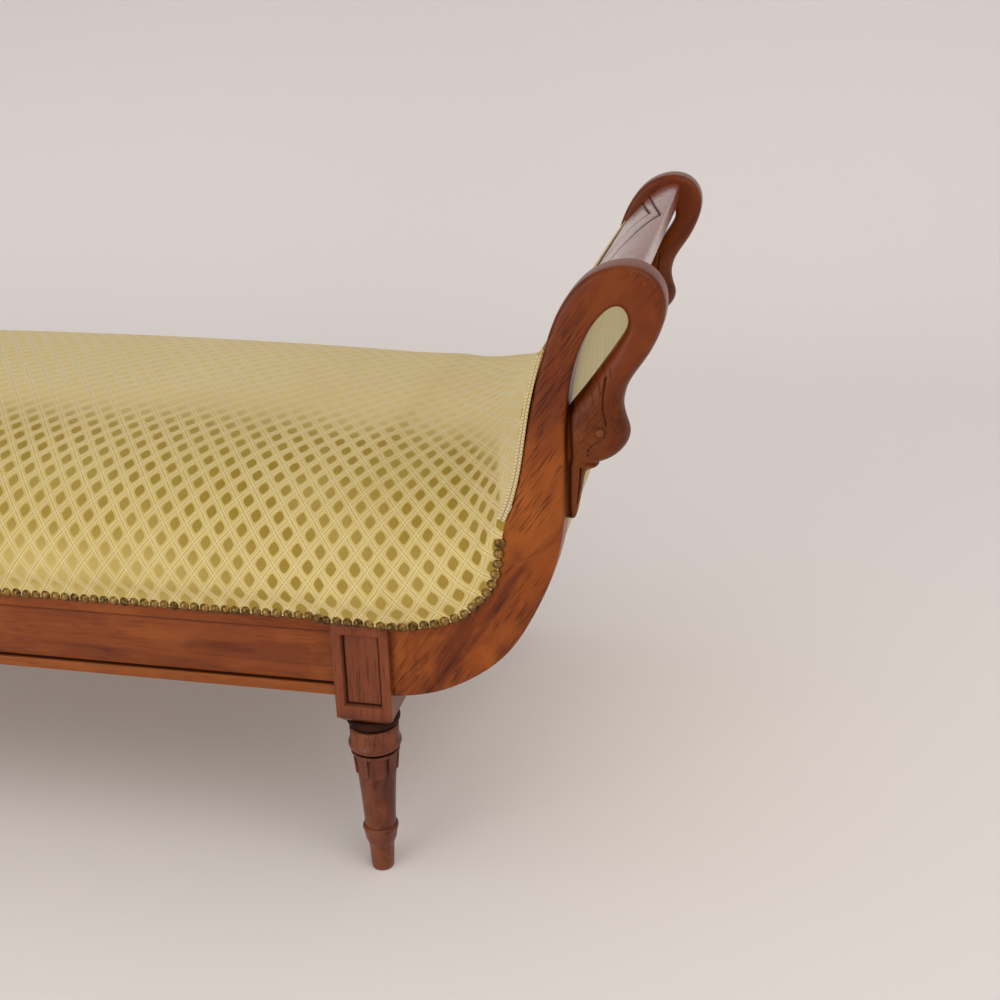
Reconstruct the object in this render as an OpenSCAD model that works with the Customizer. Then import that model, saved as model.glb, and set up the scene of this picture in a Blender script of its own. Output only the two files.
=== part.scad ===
// A daybed with two raised ends, each carried by a pair of boards that roll over
// into a swan's neck and head. Millimetres, +Z up, +X along the length, and the
// front at -Y. The origin is on the floor under the middle.

/* [Overall] */
// Distance between the leg centres along the length
leg_span = 1200; // [1000:10:1600]
// Clear width between the two stiles of one end
clear_w = 555; // [450:5:650]

/* [Swan stiles] */
// Thickness of the stile boards
stile_t = 45; // [38:1:54]
// How far a swan's neck reaches past the leg's centre
end_reach = 307; // [280:1:340]
// Height of the neck's top above the floor
end_top = 702; // [660:1:740]
// Rounding of the board's long corners, as a share of half its thickness
arris_share = 0.2; // [0.1:0.02:0.3]
// Diameter of the peg that makes the eye
eye_d = 7.5; // [5:0.5:10]

/* [Legs] */
// Side of the square block at the top of each leg
block_w = 62; // [56:1:70]
// How far the block's face stands in front of the rail and the stile
block_proud = 7; // [2:0.5:10]
// Height of the block's underside above the floor
block_z = 212; // [190:1:240]
// Radius of the two rings under the block
ring_r = 29.5; // [28:0.5:31]
// Radius of the shaft where the leaves end
shaft_r = 22.5; // [20:0.5:24]
// Radius of the shaft at its narrowest
ankle_r = 17.5; // [15:0.5:19]
// Radius of the foot's underside
foot_r = 12.5; // [10:0.5:14]

/* [Sunk panel] */
// Width of the sunk panel in the block's face
panel_w = 40; // [30:1:44]
// Height of the sunk panel
panel_h = 80; // [60:1:86]
// Depth of the sunk panel
panel_d = 5; // [2:0.5:8]
// Slope of the panel's edges, measured across
panel_bevel = 4; // [1:0.5:8]

/* [Rails] */
// How far the block hangs below the rail
block_drop = 24; // [16:1:30]
// Height of the long rail
rail_h = 105; // [96:1:115]
// Thickness of the long rail and the cross rail
rail_t = 32; // [26:1:38]
// Height of the bead along the rail's lower edge
bead_h = 12; // [8:1:16]
// How far the bead stands proud
bead_proud = 1.5; // [0.5:0.5:3]
// Height of the rail's sunk field
field_h = 64; // [50:1:70]
// Depth of the sunk field
field_d = 2; // [1:0.5:4]
// Height of the cross rails
cross_h = 80; // [60:1:95]
// Length of the tenons
tenon_l = 20; // [14:1:24]
// Thickness of the tenons
tenon_t = 12; // [8:1:14]

/* [Upholstery] */
// Rise of the seat above the rail at the middle of the length
seat_crown = 156; // [130:2:170]
// Rise of the seat above the rail where it meets the raised ends
end_crown = 143; // [125:1:150]
// How far the seat's sides swell past the nailed edge
side_bulge = 10; // [4:1:14]
// Thickness of the cover cloth with its lining
cover_t = 1.5; // [1:0.5:2]
// Width of a webbing strip
web_w = 50; // [40:1:60]
// Thickness of the webbing
web_t = 1.6; // [1.2:0.2:2]
// Thickness of the hessian
hessian_t = 1; // [0.6:0.2:1.4]
// Diameter of a nail's head
nail_d = 11; // [8:0.5:11]
// Height of a nail's domed head
nail_h = 3.5; // [2:0.5:4.5]
// Distance between the nails' centres
nail_pitch = 11.6; // [11.4:0.1:16]
// Width of the braid on the stiles
braid_w = 9; // [6:1:12]
// Thickness of the braid
braid_t = 2; // [1:0.5:3]

/* [Hidden] */
$fn = 48;

// Clearances, and the overrun that every cut gets
soft_gap = 0.3;
joint_gap = 0.1;
over = 1;

// Places that follow from the driving sizes
half_span = leg_span / 2;
inner_y = clear_w / 2;
face_y = inner_y + stile_t;
stile_y = inner_y + stile_t / 2;
block_front = face_y + block_proud;
leg_y = block_front - block_w / 2;
block_inner = block_front - block_w;
foot_x = block_w / 2;
rail_z = block_z + block_drop;
rail_top = rail_z + rail_h;
end_rise = end_top - rail_z;
over_rise = end_top - rail_top;

// Colours
WOOD = "#8a4527";
DARK_WOOD = "#5f2c1c";
PLAIN_WOOD = "#c9a06c";
CLOTH = "#cdbf7d";
BRASS = "#6e5532";
JUTE = "#b89a67";
BRAID = "#ddd2a0";
STEEL = "#8c8f94";

// The stile as pairs of edge points, from its foot over the top and down the
// neck. Each row holds the outer edge, the seat-side edge, the thickness and the
// rounding. Places are shares of the reach and the rise, thickness is a share of
// the board's, and rounding is a share of half the smaller side.
foot_top_share = rail_h / end_rise;
board_shares = [
    [0.000, 0.004, 0.000, foot_top_share, 1.00, arris_share],
    [0.163, 0.022, 0.148, 0.238, 1.00, arris_share],
    [0.329, 0.073, 0.264, 0.275, 1.00, arris_share],
    [0.467, 0.148, 0.340, 0.330, 1.00, arris_share],
    [0.571, 0.260, 0.401, 0.406, 1.00, arris_share],
    [0.637, 0.363, 0.459, 0.464, 1.00, arris_share],
    [0.665, 0.466, 0.492, 0.524, 1.00, arris_share],
    [0.664, 0.577, 0.515, 0.592, 1.00, arris_share],
    [0.666, 0.687, 0.544, 0.704, 1.00, 0.28],
    [0.691, 0.785, 0.593, 0.818, 1.00, 0.32],
    [0.731, 0.854, 0.658, 0.899, 1.00, 0.34],
    [0.778, 0.896, 0.738, 0.965, 1.00, 0.34],
    [0.823, 0.917, 0.843, 1.000, 1.00, 0.34],
    [0.854, 0.912, 0.940, 0.986, 0.99, 0.36],
    [0.870, 0.893, 0.993, 0.942, 0.97, 0.42],
    [0.864, 0.869, 0.990, 0.888, 0.93, 0.52],
    [0.834, 0.839, 0.949, 0.828, 0.88, 0.66],
    [0.796, 0.806, 0.906, 0.789, 0.84, 0.76],
    [0.754, 0.770, 0.868, 0.751, 0.82, 0.82],
    [0.714, 0.737, 0.856, 0.713, 0.84, 0.86]];
// The head and the beak go on from the last row of the neck
head_seam = 0.655;
head_shares = [
    [0.714, 0.737, 0.856, 0.713, 0.84, 0.86],
    [head_seam, 0.721, 0.864, 0.688, 0.88, 0.86],
    [head_seam, 0.680, 0.879, 0.667, 0.91, 0.86],
    [head_seam, 0.655, 0.883, 0.650, 0.93, 0.86],
    [head_seam, 0.633, 0.873, 0.630, 0.92, 0.86],
    [head_seam, 0.613, 0.846, 0.609, 0.86, 0.84],
    [head_seam, 0.597, 0.810, 0.596, 0.74, 0.80],
    [head_seam, 0.588, 0.774, 0.589, 0.60, 0.76],
    [head_seam, 0.582, 0.768, 0.582, 0.60, 0.80],
    [head_seam, 0.574, 0.758, 0.574, 0.54, 0.70],
    [head_seam, 0.569, 0.729, 0.569, 0.48, 0.50],
    [head_seam, 0.539, 0.720, 0.540, 0.44, 0.50],
    [head_seam, 0.496, 0.709, 0.496, 0.36, 0.50],
    [head_seam, 0.464, 0.698, 0.462, 0.28, 0.50],
    [0.660, 0.456, 0.688, 0.455, 0.20, 0.50]];
board_steps = 2;
arc_steps = 3;
eye_share = [0.785, 0.661];
eye_h_share = 0.6;
eye_seat_share = 0.9;

// The surface of the upholstery at mid width, one row for each of the stile's
// first rows: a share of the reach, of the end's crown, and of the rise.
surface_shares = [
    [-0.076, 0.970, 0.000], [0.007, 0.960, 0.000], [0.090, 0.950, 0.009],
    [0.170, 0.900, 0.042], [0.250, 0.800, 0.107], [0.307, 0.650, 0.194],
    [0.351, 0.500, 0.287], [0.396, 0.300, 0.413], [0.448, 0.100, 0.592],
    [0.510, 0.000, 0.776], [0.662, 0.000, 0.875]];
// Stations of the smoothed outline where the pad, the cloth and the nails end
pad_last = 18;
cover_last = 19;
nail_last = 8;
// Drop of the nails' line below the wood's edge, at the rail and then at each
// station up the stile
rail_nail_drop = 12;
nail_drop_shares = [1.17, 1.42, 1.33, 0.96, 0.79, 0.67, 0.54, 0.38, 0.20];
cloth_below = 2.5;
edge_lift = 0.5;
edge_share = 0.15;
top_bulge = 1;
braid_start_share = 0.3;

// The section across the upholstery: shares of its height, with the exponents of
// its rounded side and its top, and the share over which the side draws in
height_shares = [0.16, 0.27, 0.41, 0.57, 0.72, 0.85, 0.94, 0.985, 1];
side_power = 3;
top_power = 2.5;
tuck_share = 0.3;
flat_share = 0.13;
nail_room = 1.5;
flat_h = cloth_below + nail_d / 2 + nail_room;

// Layers under the stuffing
seat_lift = 2 * web_t + hessian_t + 4 * soft_gap;
end_lift = web_t + hessian_t + 3 * soft_gap;
seat_end = 60;
step_run = 18;

// Turned leg: heights from the floor and radii
ring_1_z = 193;
ring_h = 14;
ring_2_z = 160;
neck_r = 27.5;
neck_h = 20;
bead_z = 149;
bead_t = 5;
leaf_r = 26;
leaf_h = 26;
leaf_w = 15;
leaf_count = 8;
ankle_z = 64;
ankle_ring_z = 51;
ankle_ring_r = 20;
ankle_ring_h = 17;
toe_r = 14.5;
toe_z = 40;
shoulder_z = 205;
shoulder_share = 0.73;

// Corner blocks, screws and the middle bearer
corner_leg = 60;
corner_h = 45;
corner_drop = 8;
screw_d = 4.5;
screw_l = 52;
screw_head_d = 9;
screw_head_h = 3;
bearer_w = 45;
bearer_h = 40;
bearer_dip = 22;
web_gap = 32;

// Crest rail and lower end rail, as shares of the reach and the rise
crest_shares = [
    [0.572, 0.775], [0.593, 0.815], [0.622, 0.854], [0.658, 0.884], [0.707, 0.916], [0.756, 0.946],
    [0.803, 0.966], [0.850, 0.976], [0.882, 0.975], [0.893, 0.966], [0.888, 0.936],
    [0.877, 0.908], [0.850, 0.912], [0.817, 0.917], [0.778, 0.903], [0.734, 0.878],
    [0.705, 0.852], [0.676, 0.824], [0.645, 0.798], [0.622, 0.765]];
crest_tenon_share = [0.735, 0.905];
crest_tenon_w = 26;
crest_tenon_turn = 50;
end_rail_shares = [
    [0.270, 0.058], [0.329, 0.084], [0.400, 0.118], [0.455, 0.156],
    [0.370, 0.215], [0.310, 0.182], [0.240, 0.155]];
end_tenon_share = [0.345, 0.142];
end_tenon_w = 34;
end_tenon_turn = 40;
outside_shares = [
    [0.817, 0.917], [0.778, 0.903], [0.734, 0.878], [0.705, 0.850], [0.688, 0.815],
    [0.677, 0.785], [0.654, 0.687], [0.652, 0.577], [0.653, 0.468], [0.622, 0.370],
    [0.560, 0.272], [0.455, 0.156], [0.400, 0.118], [0.329, 0.084], [0.270, 0.058]];

// A point from its shares of the reach and the rise
function place(s) = [foot_x + s[0] * (end_reach - foot_x), rail_z + s[1] * end_rise];

// A smooth curve through rows of numbers, with the given steps between two rows
function row(rows, i) = rows[max(0, min(len(rows) - 1, i))];
function blend4(a, b, c, d, u) = (2 * b + (c - a) * u
    + (2 * a - 5 * b + 4 * c - d) * pow(u, 2) + (3 * b - a - 3 * c + d) * pow(u, 3)) / 2;
function smooth(rows, steps) = [
    for (i = [0:len(rows) - 2]) for (k = [0:steps - 1])
        blend4(row(rows, i - 1), rows[i], rows[i + 1], row(rows, i + 2), k / steps),
    rows[len(rows) - 1]];

// The stile's rings
board_rows = smooth(board_shares, board_steps);
function outer_edge(s) = place([s[0], s[1]]);
function seat_edge(s) = place([s[2], s[3]]);
function ring(s) = let (
        a = outer_edge(s), b = seat_edge(s), w = norm(b - a), e = (b - a) / w,
        c = (a + b) / 2, t = s[4] * stile_t, r = s[5] * min(w, t) / 2)
    [for (k = [0:3]) for (j = [0:arc_steps]) let (
        turn = 90 * (k + j / arc_steps),
        u = (k == 0 || k == 3 ? 1 : -1) * (w / 2 - r) + r * cos(turn),
        v = (k < 2 ? 1 : -1) * (t / 2 - r) + r * sin(turn))
        [c[0] + e[0] * u, v, c[1] + e[1] * u]];

// A closed skin over rings of points. A hollow ring runs out along its outside and
// back along its inside, so its two ends close as strips. Both halves of a run have
// their diagonals mirrored, so a pad and the cloth over it fold along the same lines.
function side_faces(m, n, run) = [for (i = [0:m - 2]) for (j = [0:n - 1]) let (
        a = i * n + j, b = i * n + (j + 1) % n)
    each (2 * (j % run) < run - 1 ? [[a, b, b + n], [a, b + n, a + n]]
        : [[a, b, a + n], [b, b + n, a + n]])];
function fan(n, first) = [for (j = [1:n - 2]) [first, first + j + 1, first + j]];
function strip(n, first) = [for (j = [0:n / 2 - 2]) let (
        a = first + j, b = first + n - 1 - j)
    each [[a, b, b - 1], [a, b - 1, a + 1]]];
function flipped(faces) = [for (f = faces) [f[0], f[2], f[1]]];
module loft(rings, hollow = false) {
    n = len(rings[0]);
    m = len(rings);
    ends = hollow ? concat(strip(n, 0), flipped(strip(n, (m - 1) * n)))
        : concat(fan(n, 0), flipped(fan(n, (m - 1) * n)));
    polyhedron([for (r = rings) each r], concat(side_faces(m, n, hollow ? n / 2 : n), ends), convexity = 12);
}

// A band of even thickness that follows a path, between two distances to its left
function heading(path, i) = let (
        d = row(path, i + 1) - row(path, i - 1)) d / norm(d);
function left_of(path, i, dist) = path[i] + dist * [-heading(path, i)[1], heading(path, i)[0]];
module band(path, near, far) polygon(concat(
    [for (i = [0:len(path) - 1]) left_of(path, i, near)],
    [for (i = [len(path) - 1:-1:0]) left_of(path, i, far)]));

// Stands a drawing of the end's side view up, centred on the width
module across(width) translate([0, width / 2, 0]) rotate([90, 0, 0])
    linear_extrude(height = width) children();
// The right end as drawn, or the left end as its mirror image
module at_end(side) mirror([side < 0 ? 1 : 0, 0, 0]) translate([half_span, 0, 0]) children();
// The back as drawn, or the front as its mirror image
module at_side(side) mirror([0, side < 0 ? 1 : 0, 0]) children();

// Legs. The block is square, its lower corners are rounded off by the turning.
module leg_turning() {
    cylinder(h = toe_z, r1 = foot_r, r2 = toe_r);
    translate([0, 0, toe_z]) cylinder(h = ankle_z - toe_z, r1 = toe_r, r2 = ankle_r);
    ring_at(ankle_ring_z, ankle_ring_r, ankle_ring_h);
    translate([0, 0, ankle_z]) cylinder(h = bead_z - ankle_z, r1 = ankle_r, r2 = shaft_r);
    ring_at(bead_z, leaf_r + bead_t / 4, bead_t);
    translate([0, 0, bead_z]) cylinder(h = ring_2_z - bead_z, r = shaft_r);
    ring_at(ring_2_z, ring_r, ring_h);
    translate([0, 0, ring_2_z]) cylinder(h = neck_h, r = neck_r);
    translate([0, 0, ring_2_z + neck_h]) cylinder(h = shoulder_z - ring_2_z - neck_h, r = shaft_r);
    ring_at(ring_1_z, ring_r, ring_h);
}
module ring_at(z, r, h) translate([0, 0, z]) rotate_extrude()
    translate([r - h / 2, 0]) circle(d = h);
// Tongue-shaped leaves that hang below the small bead
module leaves() intersection() {
    translate([0, 0, bead_z - leaf_h - over]) cylinder(h = leaf_h + over, r1 = leaf_r - 1.5 * field_d,
        r2 = leaf_r);
    union() for (i = [0:leaf_count - 1]) rotate([0, 0, 360 * (i + 1 / 2) / leaf_count]) leaf();
}
module leaf() translate([shaft_r - bead_t, 0, bead_z]) rotate([90, 0, 90]) linear_extrude(height = leaf_r)
    union() {
        translate([-leaf_w / 2, leaf_w / 2 - leaf_h]) square([leaf_w, leaf_h - leaf_w / 2]);
        translate([0, leaf_w / 2 - leaf_h]) circle(d = leaf_w);
    }
module leg_block() intersection() {
    translate([-block_w / 2, -block_w / 2, shoulder_z]) cube([block_w, block_w, rail_top - shoulder_z]);
    union() {
        translate([0, 0, block_z]) cylinder(h = rail_top - block_z, r = block_w);
        translate([0, 0, shoulder_z]) cylinder(h = block_z - shoulder_z,
            r1 = ring_r - bead_proud, r2 = block_w * shoulder_share);
    }
}
// A sunk panel with four sloping edges, open towards +Y
module sunk_panel() {
    mid_z = (rail_z + rail_top - 2 * rail_nail_drop - cloth_below) / 2 - cloth_below;
    translate([0, block_w / 2, mid_z]) intersection() {
        slope(panel_w, panel_h);
        rotate([0, 90, 0]) slope(panel_h, panel_w);
    }
}
module slope(w, run) translate([0, 0, -run / 2]) linear_extrude(height = run) polygon([
    [-w / 2 + panel_bevel, -panel_d], [w / 2 - panel_bevel, -panel_d],
    [w / 2, 0], [w / 2, over], [-w / 2, over], [-w / 2, 0]]);
// Mortises for the long rail, the stile and the cross rail
module leg_mortises() {
    long_y = face_y - rail_t / 2 - leg_y;
    translate([-block_w / 2, long_y, 0]) rail_mortise(0);
    translate([block_w / 2, stile_y - leg_y, 0]) mirror([1, 0, 0]) rail_mortise(0);
    translate([0, -block_w / 2, 0]) rotate([0, 0, 90]) rail_mortise(cross_h);
}
// Heights of a rail's tenon. The cross rail is lower than the others.
function tenon_z(lower) = (lower > 0 ? rail_top - lower : rail_z) + tenon_l;
function tenon_h(lower) = rail_top - tenon_z(lower) - tenon_l;
module rail_mortise(lower)
    translate([-over, -tenon_t / 2 - joint_gap, tenon_z(lower) - joint_gap])
        cube([tenon_l + over + joint_gap, tenon_t + 2 * joint_gap, tenon_h(lower) + 2 * joint_gap]);
module rail_tenon(lower) translate([-over, -tenon_t / 2, tenon_z(lower)])
    cube([tenon_l + over, tenon_t, tenon_h(lower)]);
module leg() color(DARK_WOOD) difference() {
    translate([0, leg_y, 0]) difference() {
        union() {
            leg_turning();
            leaves();
            leg_block();
        }
        sunk_panel();
        leg_mortises();
    }
    corner_hole(screw_d + 2 * joint_gap);
}

// Stiles
module swan_board() loft([for (s = board_rows) ring(s)]);
module swan_head() loft([for (s = head_shares) ring(s)]);
module stile() color(WOOD) translate([0, stile_y, 0]) difference() {
    union() {
        swan_board();
        swan_head();
        translate([foot_x, 0, 0]) mirror([1, 0, 0]) rail_tenon(0);
    }
    translate([0, -stile_t / 2, 0]) crest_tenon(joint_gap);
    translate([0, -stile_t / 2, 0]) end_tenon(joint_gap);
    eye_place() cylinder(h = stile_t, d = eye_d + 2 * joint_gap);
}
module eye_place() translate([place(eye_share)[0], 0, place(eye_share)[1]]) rotate([-90, 0, 0])
    translate([0, 0, stile_t * head_shares[3][4] / 2 * (1 - eye_seat_share / eye_d)]) children();
module eye() translate([0, stile_y, 0]) eye_place() {
    cylinder(h = eye_d * eye_h_share, d = eye_d);
    translate([0, 0, eye_d * eye_h_share]) cylinder(h = eye_seat_share, d1 = eye_d, d2 = eye_d * eye_h_share);
}
module swan_eyes() color(DARK_WOOD) for (e = [-1, 1]) for (s = [-1, 1]) at_end(e) at_side(s) eye();

// Rails
module long_rail() color(WOOD) at_side(1) {
    rail_l = leg_span - block_w;
    translate([-rail_l / 2, face_y, rail_z]) rotate([90, 0, 90]) linear_extrude(height = rail_l)
        long_profile();
    for (e = [-1, 1]) mirror([e < 0 ? 1 : 0, 0, 0])
        translate([rail_l / 2, face_y - rail_t / 2, 0]) rail_tenon(0);
}
module long_profile() difference() {
    union() {
        translate([-rail_t, 0]) square([rail_t, rail_h]);
        translate([bead_proud - bead_h / 2, 0]) square([bead_h / 2, bead_h - bead_proud]);
        translate([0, bead_h - bead_proud]) circle(r = bead_proud);
    }
    translate([-field_d, bead_h]) square([field_d + over, field_h - field_d]);
    translate([0, bead_h + field_h - field_d]) circle(r = field_d);
}
module cross_rail() color(PLAIN_WOOD) {
    translate([-rail_t / 2, -block_inner, rail_top - cross_h]) cube([rail_t, 2 * block_inner, cross_h]);
    for (s = [-1, 1]) at_side(s) translate([0, block_inner, 0]) rotate([0, 0, 90]) rail_tenon(cross_h);
}
module end_rail() color(WOOD) {
    across(clear_w) polygon([for (s = end_rail_shares) place(s)]);
    for (s = [-1, 1]) at_side(s) translate([0, inner_y, 0]) end_tenon(0);
}
module end_tenon(gap) turned_tenon(end_tenon_share, end_tenon_w, end_tenon_turn, gap);
module crest_tenon(gap) turned_tenon(crest_tenon_share, crest_tenon_w, crest_tenon_turn, gap);
module turned_tenon(share, w, turn, gap)
    translate([place(share)[0], -over, place(share)[1]]) rotate([0, -turn, 0])
        translate([-w / 2 - gap, 0, -tenon_t / 2 - gap])
            cube([w + 2 * gap, tenon_l + over + gap, tenon_t + 2 * gap]);
module crest_rail() color(WOOD) {
    across(clear_w) polygon([for (s = crest_shares) place(s)]);
    for (s = [-1, 1]) at_side(s) translate([0, inner_y, 0]) crest_tenon(0);
}

// Bearer, corner blocks and their screws
module middle_bearer() color(PLAIN_WOOD) {
    run = face_y - rail_t;
    translate([bearer_w / 2, 0, 0]) rotate([90, 0, -90]) linear_extrude(height = bearer_w) polygon([
        [-run, rail_top - corner_drop - bearer_h], [run, rail_top - corner_drop - bearer_h],
        [run, rail_top - corner_drop], [run - bearer_w, rail_top - corner_drop],
        [run / 2, rail_top - bearer_dip], [-run / 2, rail_top - bearer_dip],
        [bearer_w - run, rail_top - corner_drop], [-run, rail_top - corner_drop]]);
}
module corner_block() difference() {
    rail_in = face_y - rail_t;
    translate([0, 0, rail_top - corner_drop - corner_h]) linear_extrude(height = corner_h) polygon([
        [-foot_x - corner_leg, rail_in], [-foot_x, rail_in], [-foot_x, block_inner],
        [-rail_t / 2, block_inner], [-rail_t / 2, block_inner - corner_leg]]);
    corner_hole(screw_d + 2 * joint_gap);
}
// The screw lies on the line from the brace's slanting face to the block's edge
function brace_mid() = [(-foot_x - corner_leg - rail_t / 2) / 2,
    (face_y - rail_t + block_inner - corner_leg) / 2];
function brace_turn() = atan2(corner_leg + foot_x - rail_t / 2,
    face_y - rail_t - block_inner + corner_leg);
module corner_axis() translate([brace_mid()[0], brace_mid()[1], rail_top - corner_drop - corner_h / 2])
    rotate([0, 0, brace_turn()]) rotate([0, 90, 0]) children();
module corner_hole(d) corner_axis() translate([0, 0, -over]) cylinder(h = screw_l + over + joint_gap, d = d);
module corner_screw() corner_axis() {
    cylinder(h = screw_l, d = screw_d);
    translate([0, 0, -screw_head_h]) cylinder(h = screw_head_h, d = screw_head_d);
}
module corner_blocks() color(PLAIN_WOOD) for (e = [-1, 1]) for (s = [-1, 1]) at_end(e) at_side(s)
    corner_block();
module corner_screws() color(STEEL) for (e = [-1, 1]) for (s = [-1, 1]) at_end(e) at_side(s)
    corner_screw();

// Webbing and hessian of the seat, on top of the rails
module seat_webbing_long() color(JUTE) {
    count = floor((clear_w + web_gap) / (web_w + web_gap));
    step = clear_w / count;
    for (i = [0:count - 1]) translate([-half_span, (i + 1 / 2) * step - inner_y - web_w / 2,
        rail_top + soft_gap]) cube([leg_span, web_w, web_t]);
}
module seat_webbing_cross() color(JUTE) {
    run = leg_span - 2 * block_w;
    count = floor(run / (web_w + web_gap));
    step = run / count;
    reach = face_y - rail_t / 4;
    for (i = [0:count - 1]) translate([(i + 1 / 2) * step - run / 2 - web_w / 2, -reach,
        rail_top + web_t + 2 * soft_gap]) cube([web_w, 2 * reach, web_t]);
}
module seat_hessian() color(JUTE) {
    reach = face_y - rail_t / 4;
    translate([-half_span - rail_t / 4, -reach, rail_top + 2 * web_t + 3 * soft_gap])
        cube([leg_span + rail_t / 2, 2 * reach, hessian_t]);
}

// Webbing and hessian of a raised end, along the seat-side edge of the stiles
function edge_path(last) = concat([[rail_t / 4 + web_t, rail_top]],
    [for (i = [0:last]) seat_edge(board_rows[i])]);
module end_webbing() color(JUTE) {
    count = floor((clear_w + web_gap) / (web_w + web_gap));
    step = clear_w / count;
    for (i = [0:count - 1]) translate([0, (i + 1 / 2) * step - inner_y, 0])
        across(web_w) band(edge_path(pad_last), soft_gap, soft_gap + web_t);
}
module end_hessian() color(JUTE) across(2 * (face_y - rail_t / 4))
    band(edge_path(pad_last), 2 * soft_gap + web_t, 2 * soft_gap + web_t + hessian_t);

// Sections of the upholstery. A station holds its foot on the wood's edge, the
// surface at mid width, the drop of the cloth's edge, the half width of that
// edge, the swell of the side and the height of the layers under the stuffing.
surface_rows = smooth(surface_shares, board_steps);
function surface_at(i) = let (s = surface_rows[i])
    [foot_x + s[0] * (end_reach - foot_x), rail_top + s[1] * end_crown + s[2] * over_rise];
cloth_y = face_y + soft_gap + cover_t;
function rail_station(x, crown, proud) =
    [[x, rail_top], [x - proud, rail_top + crown], rail_nail_drop + cloth_below,
        cloth_y + proud, side_bulge, seat_lift];
function nail_drop(i) = rail_nail_drop * nail_drop_shares[min(i, nail_last)];
function stile_station(i, on_face) = [seat_edge(board_rows[i]), surface_at(i),
    on_face ? nail_drop(i) + cloth_below : -edge_lift,
    i == 0 ? cloth_y + block_proud : i <= nail_last ? cloth_y : face_y - braid_t - soft_gap,
    side_bulge + (top_bulge - side_bulge) * min(1, i / nail_last),
    (i == 0 ? seat_lift : end_lift) / lean(i)];
// How far a station leans from square to the wood's edge, as a cosine
function lean(i) = let (
        d = seat_edge(row(board_rows, i + 1)) - seat_edge(row(board_rows, i - 1)),
        n = surface_at(i) - seat_edge(board_rows[i]))
    (n * [-d[1], d[0]]) / norm(d) / norm(n);
// Just past the last nail the cloth's edge moves up onto the wood's edge, and only
// then in from the face
step_station = let (
        a = stile_station(nail_last, true), b = stile_station(nail_last + 1, false),
        go = function(k) a[k] + (b[k] - a[k]) * edge_share)
    [go(0), go(1), -edge_lift, a[3], go(4), go(5)];
seat_join = half_span - seat_end;
end_stations = concat(
    [rail_station(-seat_end, end_crown, 0), rail_station(-foot_x - step_run, end_crown, 0),
        rail_station(-foot_x - soft_gap, end_crown, block_proud),
        rail_station(0, end_crown, block_proud)],
    [for (i = [0:nail_last]) stile_station(i, true)],
    [step_station],
    [for (i = [nail_last + 1:cover_last]) stile_station(i, false)]);
seat_steps = 6;
function crown_at(x) = seat_crown + (end_crown - seat_crown) * pow(x / seat_join, 2);
seat_stations = [for (i = [-seat_steps:seat_steps]) let (x = seat_join * i / seat_steps)
    [[x, rail_top], [x, rail_top + crown_at(x)], rail_nail_drop + cloth_below, cloth_y,
        side_bulge, seat_lift]];

// Half of a section as pairs of width and height, set in by a distance
function half_section(st, inset) = let (
        high = norm(st[1] - st[0]) + st[2], flat_at = min(flat_h, flat_share * high))
    concat([[st[3] - inset, -st[2]], [st[3] - inset, flat_at - st[2]]],
        [for (h = height_shares) [
            (st[3] + st[4] - inset) * pow(1 - pow(h, top_power), 1 / side_power)
                - st[4] * pow(max(0, 1 - h / tuck_share), 2),
            (high - inset) * h - st[2]]]);
function in_space(st, p) = let (n = (st[1] - st[0]) / norm(st[1] - st[0]), q = st[0] + n * p[1])
    [q[0], -p[0], q[1]];
function both_sides(half) = concat([for (i = [0:len(half) - 1]) half[i]],
    [for (i = [len(half) - 2:-1:0]) [-half[i][0], half[i][1]]]);
function cover_ring(st) = concat(
    [for (p = both_sides(half_section(st, 0))) in_space(st, p)],
    [for (p = both_sides(half_section(st, cover_t))) in_space(st, [-p[0], p[1]])]);
function pad_ring(st) = let (
        half = half_section(st, cover_t + soft_gap),
        foot = [st[3] - cover_t - 2 * soft_gap, st[5]])
    [for (p = both_sides(concat([foot], [for (i = [2:len(half) - 1]) half[i]]))) in_space(st, p)];
// One end's stuffing stops a little short of the seat's
function set_back(st) = [st[0] + [soft_gap, 0], st[1] + [soft_gap, 0], st[2], st[3], st[4], st[5]];
function short_ends(list) = concat([set_back(list[0])], [for (i = [1:len(list) - 1]) list[i]]);
pad_count = len(end_stations) - (cover_last - pad_last);
module seat_pad() color(JUTE) loft([for (st = seat_stations) pad_ring(st)]);
module seat_cover() color(CLOTH) loft([for (st = seat_stations) cover_ring(st)], hollow = true);
module end_pad() color(JUTE) loft([for (st = [for (i = [0:pad_count - 1]) short_ends(end_stations)[i]])
    pad_ring(st)]);
module end_cover() color(CLOTH) loft([for (st = short_ends(end_stations)) cover_ring(st)], hollow = true);
module outside_back() color(CLOTH) across(clear_w - 2 * soft_gap)
    band(smooth([for (s = outside_shares) place(s)], board_steps), 2 * soft_gap, 2 * soft_gap + cover_t);

// Braid on the edge of each stile, narrowing towards the top
module braid() color(BRAID) for (s = [-1, 1]) at_side(s) translate([0, face_y, 0]) rotate([90, 0, 0])
    linear_extrude(height = braid_t) {
        first = nail_last + 1;
        a = seat_edge(board_rows[first]);
        b = seat_edge(board_rows[first + 1]);
        path = concat([a + (b - a) * braid_start_share],
            [for (i = [first + 1:pad_last]) seat_edge(board_rows[i])]);
        wide = [for (i = [0:len(path) - 1]) braid_w * (1 - i / len(path) / 2)];
        polygon(concat([for (i = [0:len(path) - 1]) left_of(path, i, soft_gap)],
            [for (i = [len(path) - 1:-1:0]) left_of(path, i, soft_gap + wide[i])]));
    }

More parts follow.
